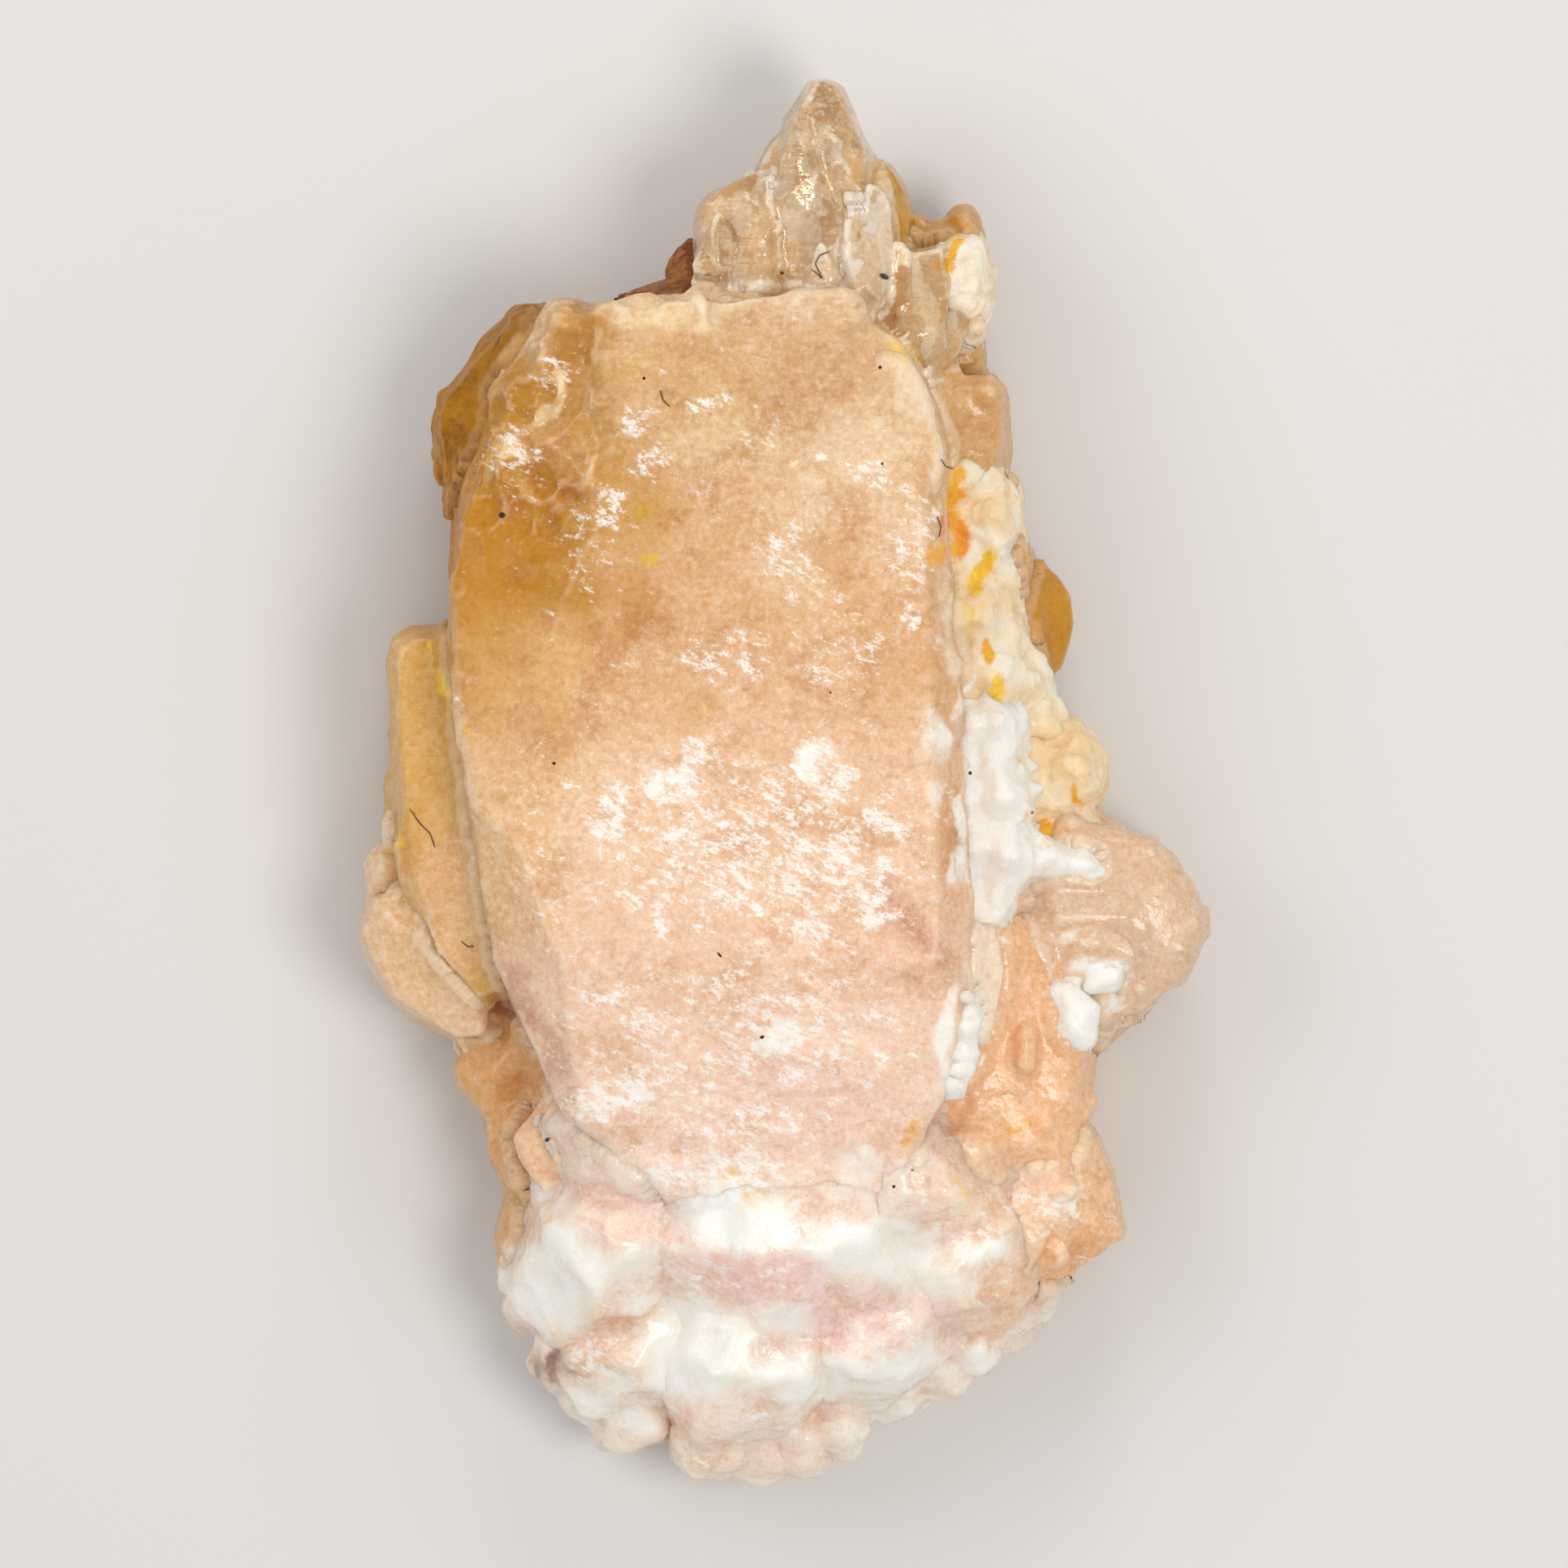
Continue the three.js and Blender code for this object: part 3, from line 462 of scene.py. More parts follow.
patches = {
    "clouds": [  # x, y, half width, half height, turn, tone, share
        (-12.6, 11, 3.1, 6.4, 0, gold, 0.97), (-10, 10.4, 2.4, 4, 12, (192, 132, 28), 0.9),
        (-12.8, 5.6, 1.9, 3, 0, (203, 142, 44), 0.85), (-11, 2, 2.6, 4.5, 0, (220, 168, 100), 0.75),
        (-11.4, -3, 2.2, 4, 0, (230, 184, 132), 0.75), (-14.6, -5.4, 2.2, 3.6, -20, (232, 188, 136), 0.9),
        (-15, 5.2, 1.6, 1.2, 0, (214, 168, 84), 0.6), (-16.2, -2.6, 0.8, 2, 0, (214, 164, 92), 0.7),
        (-8.6, 17.4, 1.3, 3.4, 4, (196, 140, 40), 0.9), (-11, 16.6, 1.7, 1.5, 40, (190, 130, 22), 0.9),
        (-6.6, 12.4, 2.2, 3, 0, (203, 148, 66), 0.8), (-6.4, 8, 1.2, 1.4, 0, (202, 140, 64), 0.7),
        (-3, 9, 3.2, 2.6, 0, (216, 164, 104), 0.6), (-4.4, 16.8, 3.8, 2.6, 0, (216, 172, 112), 0.8),
        (-5.6, 3.4, 2.4, 1.6, 0, (220, 168, 104), 0.55), (2.4, 10, 1.6, 2.2, 0, (220, 168, 112), 0.5),
        (5.4, 13.4, 1.2, 2, 0, (224, 180, 124), 0.5), (0.2, 12.4, 3.2, 3, 0, (220, 172, 122), 0.6),
        (1.2, 17.4, 2.4, 2.8, 0, (212, 168, 120), 0.7), (2.6, 13.6, 3.4, 2.2, 25, (240, 212, 176), 0.6),
        (-2.6, 14.6, 2.4, 1.2, -10, (234, 204, 160), 0.5), (4.6, 9.4, 1.2, 2.6, 0, (240, 208, 174), 0.5),
        (-0.4, 8.8, 1.8, 1.2, 0, (240, 204, 170), 0.45), (-7.6, -1.2, 2.2, 2.6, 0, (244, 208, 172), 0.55),
        (2.4, -10.4, 3, 1.6, 0, (248, 214, 190), 0.5), (4.2, 6.2, 2.2, 3.2, 10, (219, 166, 108), 0.6),
        (-1.8, 6.2, 3, 2, 0, (222, 172, 120), 0.55), (-8.2, 5.4, 2, 2, 0, (219, 166, 100), 0.6),
        (5.2, -5.6, 0.8, 2.0, 32, rose, 0.8), (3, -1.8, 2.8, 0.8, -14, (212, 158, 116), 0.65),
        (-2.4, -2.6, 1.3, 0.8, 0, (214, 160, 118), 0.6), (6.6, 4.4, 0.9, 3, 4, (218, 164, 108), 0.7),
        (6.9, -2.4, 0.8, 2.6, 0, (220, 162, 110), 0.7), (-10.6, -10.4, 3.6, 0.6, -59, (204, 152, 128), 0.75),
        (-4.4, -8.4, 2.4, 1.4, 0, (230, 184, 150), 0.5), (3.4, -8, 2.8, 1.6, 0, (230, 184, 152), 0.5),
        (0.6, -13.6, 4, 1.8, 0, (242, 200, 184), 0.5), (-6.6, 2, 2.6, 2, 0, (232, 188, 146), 0.5),
        (0.5, -21.6, 6.2, 1.6, -22, pink, 0.95), (-6.4, -18.2, 3, 1.8, 0, (248, 214, 198), 0.7),
        (5.4, -22.9, 3.6, 1.2, -18, (248, 222, 210), 0.7), (-7.4, -23.6, 2.6, 1.0, 38, (244, 204, 174), 0.85),
        (-10, -25, 0.8, 1.1, -30, (150, 110, 92), 0.85), (-4.2, -26.9, 1.6, 1.2, 0, (246, 210, 190), 0.85),
        (1.6, -27.2, 1.3, 0.9, 0, (252, 228, 210), 0.85), (-0.6, -29, 2.6, 0.8, 0, (248, 216, 196), 0.7),
        (9.4, -17.5, 3.2, 2, 0, (246, 208, 174), 0.8), (10.2, -21.4, 2.4, 1.6, 20, (246, 202, 162), 0.8),
        (8.8, -23.6, 1.6, 0.8, 40, (246, 210, 176), 0.7), (2.4, -24.2, 2, 0.5, -10, (248, 224, 208), 0.6),
        (12.4, -20.4, 1.9, 1.7, 20, (240, 180, 122), 0.7), (11.4, -17.6, 0.7, 1.3, 20, (248, 214, 190), 0.7),
    ],
    "stains": [  # x, y, half width, half height, turn, tone, share
        (-3.8, 3.3, 0.14, 0.4, 0, (246, 206, 84), 0.9), (-5.4, 9.9, 0.5, 0.35, 0, (226, 184, 52), 0.8),
        (-5.8, 11.3, 0.35, 0.5, 0, (206, 166, 40), 0.8), (-14.9, 5.9, 1.1, 0.12, -88, yellow, 0.8),
        (-14.3, 3.6, 1.3, 0.16, -66, yellow, 0.9), (-13.8, 2.6, 0.9, 0.12, -40, yellow, 0.8),
        (7.1, 11.9, 0.5, 1.1, 10, orange, 0.95), (7.7, 10.6, 0.5, 0.9, -8, (238, 150, 16), 0.9),
        (6.7, 9.9, 1.0, 0.45, 25, orange, 0.9), (8.9, 9.3, 0.9, 0.4, 65, yellow, 0.9),
        (7.4, 13.2, 0.35, 0.6, 0, orange, 0.7), (6.5, 11, 0.25, 0.6, 0, (220, 110, 12), 0.8),
        (8.9, 5.6, 0.35, 0.6, 0, orange, 0.9), (9.5, 4, 0.35, 0.5, 10, yellow, 0.95),
        (7.6, 7.6, 0.25, 0.9, 8, yellow, 0.5), (10.2, 1.1, 0.3, 0.5, 0, orange, 0.85),
        (10.4, -1.2, 0.22, 1.1, 14, (240, 190, 110), 0.7), (12.6, -0.4, 0.18, 0.6, 0, orange, 0.8),
        (11.5, -2.4, 0.9, 0.25, 35, orange, 0.85), (7.2, 23.2, 0.35, 0.8, 0, orange, 0.85),
        (6.7, 22.6, 0.8, 0.3, 20, orange, 0.8), (5.2, 18.5, 1.1, 0.6, 0, yellow, 0.85),
        (10.2, -14.8, 0.35, 0.3, 0, orange, 0.7), (-17.3, -3.2, 0.5, 0.7, 0, orange, 0.85),
        (-16.6, -2.7, 0.3, 0.6, 0, yellow, 0.7), (5.6, -15, 0.5, 1.0, -8, (244, 190, 96), 0.85),
        (-2.6, -16.9, 0.8, 0.35, 15, yellow, 0.9), (-0.9, -17.3, 0.9, 0.3, -35, orange, 0.85),
        (-9.8, -18.4, 0.25, 0.5, 0, yellow, 0.8), (7.2, -17.2, 0.3, 0.4, 0, yellow, 0.7),
        (8.5, 12, 0.9, 0.3, 0, (250, 226, 180), 0.5), (6.2, 23.6, 0.5, 0.3, 0, orange, 0.5),
        # the last four lie along the main crystal's upper left edge; the last two are dark red-brown spots
        (8.3, 18.7, 0.3, 0.2, 0, orange, 0.6), (-13.8, 17.4, 1.2, 0.5, 20, (128, 78, 10), 0.6),
        (-13.9, 15, 1.1, 0.8, 0, (126, 76, 12), 0.65), (-12.4, 19.2, 0.16, 0.5, 0, (110, 30, 6), 0.8),
        (-13.5, 14.3, 0.3, 0.2, 0, (104, 30, 6), 0.8),
    ],
    "edges": [  # pale broken rims, partly painted rim glow: x, y, half width, half height, turn, tone, share
        (-11.3, 18.8, 2.6, 0.4, 54, (216, 170, 92), 0.9), (-11.3, 14.2, 1.2, 0.5, -18, (230, 194, 130), 0.9),
        (-9.6, 16.3, 1.6, 0.24, 56, (236, 206, 150), 0.9), (-12.3, 13.2, 0.25, 1.3, 0, (222, 184, 116), 0.8),
        (-10.6, 12.6, 0.8, 0.3, -60, (220, 180, 110), 0.7), (-8.1, 14.5, 0.16, 5, 0, (232, 196, 140), 0.6),
        (-5.2, 20, 2.6, 0.9, 0, (240, 208, 158), 0.9), (-9, 20.2, 1.0, 0.6, 0, (226, 180, 100), 0.85),
        (-2.3, 20.6, 1.6, 0.6, 10, (240, 216, 184), 0.85), (0.4, 20.6, 1.6, 0.6, -8, (236, 208, 172), 0.7),
        (5.7, 16.8, 2.7, 0.65, -62, (242, 220, 186), 0.9), (6.6, 12.4, 2.3, 0.5, 92, (240, 216, 182), 0.85),
        (7.3, 7.2, 3.4, 0.5, -82, (243, 222, 190), 0.85), (7.9, -9.2, 3.2, 0.5, 78, (246, 224, 200), 0.8),
        (-12.6, -1.6, 3.4, 0.3, -82, (238, 204, 160), 0.6), (-8.4, -13.6, 2.2, 0.5, -50, (244, 214, 200), 0.7),
    ],
    "milk": [  # x, y, half width, half height, turn, share
        (7.8, -0.8, 0.45, 2.4, -4, 0.85), (7.9, -3.8, 0.35, 1.2, 0, 0.8), (7.3, -10, 0.4, 2.6, -6, 0.8),
        (7.6, 3.4, 0.25, 1.6, -6, 0.6), (6.5, 2.3, 0.7, 1.1, 0, 0.8), (6.1, -0.2, 0.45, 0.45, 0, 0.7),
        (-5, 0.6, 1.4, 0.6, 6, 0.62), (1.3, 1, 1.1, 0.8, 12, 0.62), (-3.9, 0.2, 0.9, 0.9, 0, 0.5),
        (7.4, -3.6, 0.6, 1.1, 0, 0.8), (2.9, -16.2, 1.3, 1.0, 0, 0.65), (-0.6, -10.6, 1.3, 0.4, 15, 0.7),
        (-2, -18.4, 2.3, 1.5, -8, 1), (3.6, -20, 3.4, 1.4, -12, 1), (-3.5, -24.3, 2.4, 2.1, 0, 1),
        (-9.8, -21.1, 2.3, 2.4, 0, 0.95), (1.4, -25.3, 3, 1.3, 0, 0.95), (4.6, -25.5, 2.6, 1.5, 10, 0.9),
        (5.4, -27.3, 2.4, 0.6, 8, 0.85), (8.2, -25, 1.4, 0.8, 40, 0.8), (-8.8, -26.8, 1.6, 0.8, -30, 0.8),
        (-6.2, -27.4, 1.4, 0.8, 0, 0.8), (0.2, -22.8, 1.6, 0.7, 0, 0.8), (8.2, -19.8, 1.6, 0.7, 0, 0.8),
        (-6.6, -20.4, 1.8, 1.0, 30, 0.75), (-5.6, -22, 0.9, 0.6, 0, 0.8), (6.6, -21.4, 2, 0.7, -20, 0.7),
        (-9.8, -18, 1.4, 0.8, 0, 0.6), (11.9, -17.7, 0.5, 0.4, 20, 0.9), (13.7, -7.8, 1.1, 0.5, 0, 0.8),
        (16.9, -7, 0.4, 0.25, 0, 0.7), (12.4, -6.6, 0.5, 0.3, 10, 0.7), (9.7, -6.5, 0.4, 0.2, 0, 0.8),
        (14.3, -9.2, 0.5, 0.2, 10, 0.8), (-7.6, -25.6, 1.2, 0.6, 0, 0.6),
    ],
    "veils": [  # x, y, half width, half height, turn, share
        (-1, -2.6, 8.5, 4.2, 0, 0.72), (-2, -11, 8.5, 4.6, 0, 0.68), (-8, 10.4, 1.6, 2.2, 0, 0.6),
        (5.4, 10, 1.1, 3.6, 0, 0.68), (-9.6, -3, 2, 5, 0, 0.5), (-5, 0.2, 1.6, 1.1, 20, 1),
        (-3.6, 1, 1.2, 0.8, 0, 1), (-7.3, -1.7, 1.0, 1.9, 10, 0.95), (1.2, 0.9, 1.1, 1.1, 0, 1),
        (2.6, 0.3, 1.0, 0.8, 0, 0.95), (-4.6, -1.8, 2.2, 1.6, -20, 0.85), (4.1, -1.6, 1.7, 0.5, -28, 1),
        (4.2, -3.6, 1.0, 1.0, 0, 1), (4.1, -5.2, 1.5, 0.6, -25, 1), (0.6, -2.6, 1.6, 1.2, 0, 0.8),
        (2.4, -4, 1.1, 0.6, 0, 1), (-2.6, -4.6, 1.3, 0.7, -20, 0.9), (-0.6, -5.6, 1.6, 0.7, -10, 0.85),
        (1.6, -6.6, 2, 0.7, -15, 0.8), (-5.3, -6.2, 0.6, 1.1, 0, 0.95), (0.4, -10.8, 1.9, 0.6, 10, 1),
        (-7.4, -13.2, 1.8, 0.9, 0, 1), (-5, -12.2, 2, 0.8, -15, 0.8), (-8.2, -9, 1.4, 0.5, -20, 0.85),
        (-3.2, 16.2, 1.2, 0.4, 15, 0.9), (0.2, 9.6, 1.6, 2.6, 0, 0.72), (-1.5, -14.6, 4, 1, 0, 0.75),
        (-7.2, 11.4, 1.1, 1.1, 0, 0.85), (-5.2, 13.4, 1.0, 1.2, 0, 0.8), (3.6, 13, 1.3, 0.8, 0, 0.8),
        (1.4, 14, 0.5, 0.4, 0, 1), (-2.2, 5.4, 2.2, 1.5, 0, 0.7), (2.5, 5.6, 2.4, 2.4, 0, 0.65),
        (5.7, 7, 0.3, 1.3, 0, 0.9), (-6, 15.6, 1.2, 0.6, 20, 0.75), (-4, -20, 6, 2.4, 0, 0.6),
        (-7, -27, 3, 1.6, 0, 0.8), (1, -27.6, 4, 2, 0, 0.7), (4, -25, 4, 2, 0, 0.8),
        (7, -19.5, 4, 2.4, 0, 0.6), (-8, -24.5, 1.4, 1.6, 0, 0.8), (-3.2, -16.4, 5, 1.4, 0, 0.8),
        (-11.3, 14, 1.6, 1.6, 0, 0.75), (13.5, -7, 2.2, 1.2, 0, 0.4), (15.8, -8, 1.4, 1.4, 0, 0.4),
        (11.4, -17.8, 1.6, 1.2, 0, 0.7), (-9.6, 17.4, 1.4, 1.2, 50, 0.7),
    ],
    "dirt": [  # x, y, half width, half height, turn
        (4.3, 21.7, 0.22, 0.12, -20), (4.1, 17.7, 0.08, 0.08, 0), (-0.05, 21.9, 0.09, 0.07, 0),
        (-10.1, -15.2, 0.14, 0.09, 30), (5.5, -16.4, 0.07, 0.07, 0), (4.7, -17.1, 0.07, 0.07, 0),
        (-0.9, -10.7, 0.1, 0.07, 20), (-2.7, -7.2, 0.14, 0.05, -50), (-9.7, 0.9, 0.08, 0.07, 0),
        (8, 0.5, 0.08, 0.08, 0), (10.7, -1.2, 0.08, 0.08, 0), (2, 3.9, 0.05, 0.05, 0),
        (-11.95, 11.45, 0.14, 0.13, 0), (-5.9, 17.2, 0.07, 0.07, 0), (4.2, 13.6, 0.06, 0.06, 0),
        (-7.6, 20.9, 0.6, 0.12, 8),
    ],
}


quartzTones = {  # from the rose base, y = -31, to the clear point, y = 31
    "along": (-31, -21, -15.5, -8.7, -1.9, 6.2, 17.4, 31),
    "tones": ((248, 234, 218), (248, 230, 216), (246, 214, 196), (240, 200, 172), (236, 194, 158), (227, 182, 136),
              (222, 180, 134), (214, 178, 134)),
    # edge is the pale tone of worn edges, partly painted rim light on the ridges
    "fleck": (252, 247, 240), "fleckTurn": -24, "haze": (247, 215, 174), "edge": (250, 232, 208),
    "dirt": (46, 24, 14), "deep": (0.82, 0.68, 0.54, 1), "speckle": (0.8, 0.7, 0.58, 1),  # the last two multiply
}


def patchesOn(node, kind):
    # the shared patches that reach the node, seen from above, with room for their soft rims and the noise
    low, high = (np.array(corner)[:2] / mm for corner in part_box(node))
    kept = []
    for patch in patches[kind]:
        middle, reach = np.array(patch[:2]), max(patch[2:4]) * 1.3 + 0.6
        if np.all(middle > low - reach) and np.all(middle < high + reach):
            kept.append(patch)
    return kept


def keepColour(mesh, name, values):
    # four numbers kept at every point, for the materials to read
    layer = mesh.color_attributes.new(name, "FLOAT_COLOR", "POINT")
    layer.data.foreach_set("color", values.astype(np.float32).ravel())


def paintZones(mesh, points, ridge, look):
    # three colours kept at every point, worked out from places pushed about by noise: tone is the drift along the
    # cluster or the piece's own body, with the clouds over it; the second is the sharper patches, stains and pale
    # rims that are partly painted rim glow, with their share in the fourth channel; zone is how dense the veils are,
    # how milky it is, and where the ridges run
    node = look["node"]
    facing = 0.2 + 0.8 * smoothStep(0, 0.6, pointsOf(mesh, "normal")[:, 2])  # patches fade on the side walls
    push = np.stack([roughNoise(points, 1.6, 70 + 5 * k) for k in range(3)], axis=1)
    warped = points + push
    drift = np.array([tone(*c)[:3] for c in quartzTones["tones"]])
    colour = np.stack([np.interp(warped[:, 1], quartzTones["along"], drift[:, k]) for k in range(3)], axis=1)
    if "body" in look:
        colour += (np.array(tone(*look["body"])[:3]) - colour) * look["bodyShare"]
    for x, y, wide, tall, turn, shade, share in patchesOn(node, "clouds"):
        mask = spotShare(warped, x, y, wide, tall, turn, 0.5) * share
        colour += (np.array(tone(*shade)[:3]) - colour) * mask[:, None]
    keepColour(mesh, "tone", np.column_stack([colour, np.ones(len(points))]))
    stainAndRimGlow, total = np.zeros_like(colour), np.zeros(len(points))
    # stains, and pale rims that are partly painted rim glow
    for x, y, wide, tall, turn, shade, share in patchesOn(node, "edges") + patchesOn(node, "stains"):
        mask = spotShare(warped, x, y, wide, tall, turn, 0.6) * share * facing
        stainAndRimGlow += (np.array(tone(*shade)[:3]) - stainAndRimGlow) * mask[:, None]
        total += mask * (1 - total)
    keepColour(mesh, "stainAndRimGlow", np.column_stack([stainAndRimGlow / np.maximum(total, 0.01)[:, None], total]))
    veils, milk = np.zeros(len(points)), np.zeros(len(points))
    for x, y, wide, tall, turn, share in patchesOn(node, "veils"):
        veils = np.maximum(veils, spotShare(warped, x, y, wide, tall, turn, 0.6) * share)
    for x, y, wide, tall, turn, share in patchesOn(node, "milk"):
        milk = np.maximum(milk, spotShare(warped, x, y, wide, tall, turn, 0.5) * share * facing)
    keepColour(mesh, "zone", np.column_stack([veils, milk, ridge, np.ones_like(milk)]))


# Finishes

def quartzPlace(net, stray=1.9):
    # place in mm, and the same place pushed about by noise, by up to half of stray
    place = net.vector("MULTIPLY", net.put("ShaderNodeTexCoord", out=3), (1 / mm, 1 / mm, 1 / mm))
    push = net.vector("SUBTRACT", net.noise(place, 1.6, 4, 0.62, out=1), (0.5, 0.5, 0.5))
    warped = net.vector("ADD", place, net.vector("MULTIPLY", push, (stray, stray, stray)))
    return place, warped


def painted(net, fine, mottle):
    # the tone kept at the points, with the stains and the pale rims (partly painted rim glow) over it where their
    # share, broken up by noise, is high
    base = net.kept("tone")
    stainAndRimGlow = net.kept("stainAndRimGlow")
    share = net.ramp(stainAndRimGlow.other(3) + (fine - 0.5) * 0.9 + (mottle - 0.5) * 1.2, 0.15, 1.1)
    return net.mix(share, base, stainAndRimGlow)


def dusted(net, colour, node, place):
    # dark specks where dirt lies, on faces that look up
    up = net.ramp(net.part(net.put("ShaderNodeNewGeometry", out=1), 2), 0.2, 0.5)
    for x, y, wide, tall, turned in patchesOn(node, "dirt"):
        colour = net.mix(net.spot(place, x, y, wide, tall, turned, 0.3) * up, colour, tone(*quartzTones["dirt"]))
    return colour


def flakes(net, place, mottle, density, size):
    # flecks like crumpled foil: a rough noise drawn out along the flecks' slant, over a level that the clouds of the
    # middle size shift; the denser the veil, the lower the level
    rough = net.noise(net.stretched(place, size, size * 0.5, quartzTones["fleckTurn"]), 1, 5, 0.86)
    level = rough + (mottle - 0.5) * 0.42 + density * 0.24
    return net.ramp(level, 0.655, 0.775)


def tiltedFaces(net, place, size):
    # small flat faces, each tilted its own way: how far a point is from its cell's centre, times the cell's slope
    cell = net.cells(place, size)
    away = net.vector("SUBTRACT", place, cell.other(2))
    return net.vector("DOT_PRODUCT", away, net.vector("SUBTRACT", cell.other(1), (0.5, 0.5, 0.5)), out=1)


def quartz(name, look):
    # cloudy quartz: the painted tone, haze and deeper clouds, foil-like flecks, milky zones, stains, and a glossy
    # skin of small tilted faces; clear > 0 lets that share of it be see-through
    net = Net(name)
    place, warped = quartzPlace(net)
    fine, mottle = net.noise(place, 0.3, 4, 0.8), net.noise(warped, 1.1, 4, 0.75)
    cloudy = net.noise(warped, 3.4, 5, 0.72)
    zone = net.kept("zone")
    colour = painted(net, fine, mottle)
    paleness = net.ramp(net.part(colour, 2), 0.02, 0.3, 0.06, 1)
    deep = net.mix(1.0, colour, quartzTones["deep"], "MULTIPLY")
    colour = net.mix(net.ramp(cloudy, 0.46, 0.66) * look["deepShare"], colour, deep)
    haze = net.maths("MAXIMUM", net.ramp(mottle, 0.46, 0.72) * look["hazeShare"], net.part(zone, 0) * 0.28)
    colour = net.mix(haze * paleness, colour, tone(*look["haze"]))
    colour = net.shaded(net.ramp(fine, 0.47, 0.68) * 0.65, colour, quartzTones["speckle"])
    colour = net.mix(net.ramp(fine, 0.5, 0.3) * 0.35 * paleness, colour, tone(*quartzTones["fleck"]))
    if look["fractures"]:  # inner cracks: blade-like cells, some paler and some darker than their neighbours
        blade = net.cells(net.stretched(warped, 0.75, 1.9), 1).other(1)
        darker = net.ramp(net.part(blade, 0), 0.55, 0.9) * look["fractures"]
        paler = net.ramp(net.part(blade, 1), 0.6, 0.95) * look["fractures"] * 0.9
        colour = net.mix(paler, net.mix(darker, colour, deep), tone(*look["haze"]))
    density = net.maths("MAXIMUM", net.part(zone, 0), net.ramp(cloudy, 0.3, 0.7, 0, look["flecks"]))
    fleck = flakes(net, place, mottle, density, look["flakeSize"]) * look["fleckShare"]
    colour = net.mix(fleck, colour, tone(*quartzTones["fleck"]))
    milk = net.ramp(net.part(zone, 1) + (mottle - 0.5) * 1.3 + (fine - 0.5) * 0.9, 0.15, 1.15)
    # pale worn edges on the ridges, partly painted rim light laid into the colour
    ridge = net.part(zone, 2) + (fine - 0.5) * 0.8 + (mottle - 0.5) * 0.9
    wearAndRimLight = net.ramp(ridge, 0.3, 1.0) * look["paleEdges"] * (paleness * 0.5 + 0.5)
    colour = net.mix(wearAndRimLight, colour, tone(*quartzTones["edge"]))
    colour = dusted(net, net.mix(milk, colour, tone(*white)), look["node"], place)
    height = net.noise(place, 1.1, 3, 0.62) * look["ripple"] + net.noise(place, 0.3, 2, 0.6) * look["grit"]
    height = height + tiltedFaces(net, place, look["faces"]) * look["faceDepth"]
    if look["lines"]:  # fine growth lines
        height = height + net.noise(net.stretched(place, 6.0, 0.22, look["lineTurn"]), 1, 1, 0.5) * look["lines"]
    bump = net.put("ShaderNodeBump", Strength=0.7, Distance=mm, Height=height)
    rough = net.ramp(mottle, 0.38, 0.64, look["smooth"], look["dull"])
    shader = net.put("ShaderNodeBsdfPrincipled", Base_Color=colour, Roughness=rough, Normal=bump, IOR=1.54,
                     Subsurface_Weight=look["glow"], Subsurface_Radius=(1.0, 0.75, 0.5),
                     Subsurface_Scale=look["glowDepth"] * mm, Specular_IOR_Level=look["shine"])
    if look["clear"]:
        glass = net.put("ShaderNodeBsdfPrincipled", Base_Color=tone(*look["glassTone"]),
                        Roughness=look["glassRough"], Normal=bump, IOR=1.54, Transmission_Weight=1.0)
        share = net.ramp(cloudy, 0.42, 0.62, 1.0, 0.3) * look["clear"] * (1 - fleck * 0.85) * (1 - milk) * (1 - wearAndRimLight)
        inside = net.put("ShaderNodeNewGeometry", out=6)  # light that got in also gets out
        shader = net.put("ShaderNodeMixShader", i0=net.maths("MAXIMUM", share, inside), i1=shader, i2=glass)
        absorb = net.put("ShaderNodeVolumeAbsorption", Color=tone(*look["depthTone"]), Density=look["depth"])
        net.tree.links.new(absorb.socket, net.output.inputs["Volume"])
    return net.finish(shader)


def feldspar(name, look):
    # white to cream feldspar: granular, satin, with iron stains in its hollows
    net = Net(name)
    place, warped = quartzPlace(net, 1.3)
    fine, mottle = net.noise(place, 0.3, 4, 0.65), net.noise(warped, 0.8, 4, 0.6)
    zone = net.kept("zone")
    cloudy = net.ramp(net.noise(warped, 2.2, 4, 0.6), 0.38, 0.64)
    colour = net.mix(cloudy, painted(net, fine, mottle), tone(*look["second"]))
    # stains, and pale rims that are partly painted rim glow
    stainAndRimGlow = net.kept("stainAndRimGlow")
    colour = net.mix(net.ramp(stainAndRimGlow.other(3) + (mottle - 0.5) * 0.9 + (fine - 0.5) * 0.6, 0.05, 0.75), colour, stainAndRimGlow)
    colour = net.mix(net.ramp(mottle, 0.6, 0.72) * look["rust"], colour, tone(246, 196, 110))
    milk = net.maths("MAXIMUM", net.part(zone, 1), look["milk"])
    colour = net.mix(net.ramp(milk + (fine - 0.5) * 0.8, 0.3, 0.6), colour, tone(*white))
    colour = dusted(net, colour, look["node"], place)
    height = tiltedFaces(net, place, 0.5) * 0.3 + tiltedFaces(net, place, 0.22) * 0.3 + mottle * 0.1 + fine * 0.06
    bump = net.put("ShaderNodeBump", Strength=0.7, Distance=mm, Height=height)
    rough = net.ramp(mottle, 0.35, 0.65, look["smooth"], look["dull"])
    shader = net.put("ShaderNodeBsdfPrincipled", Base_Color=colour, Roughness=rough, Normal=bump, IOR=1.53,
                     Subsurface_Weight=0.45, Subsurface_Radius=(1.0, 0.8, 0.6), Subsurface_Scale=0.8 * mm)
    return net.finish(shader)


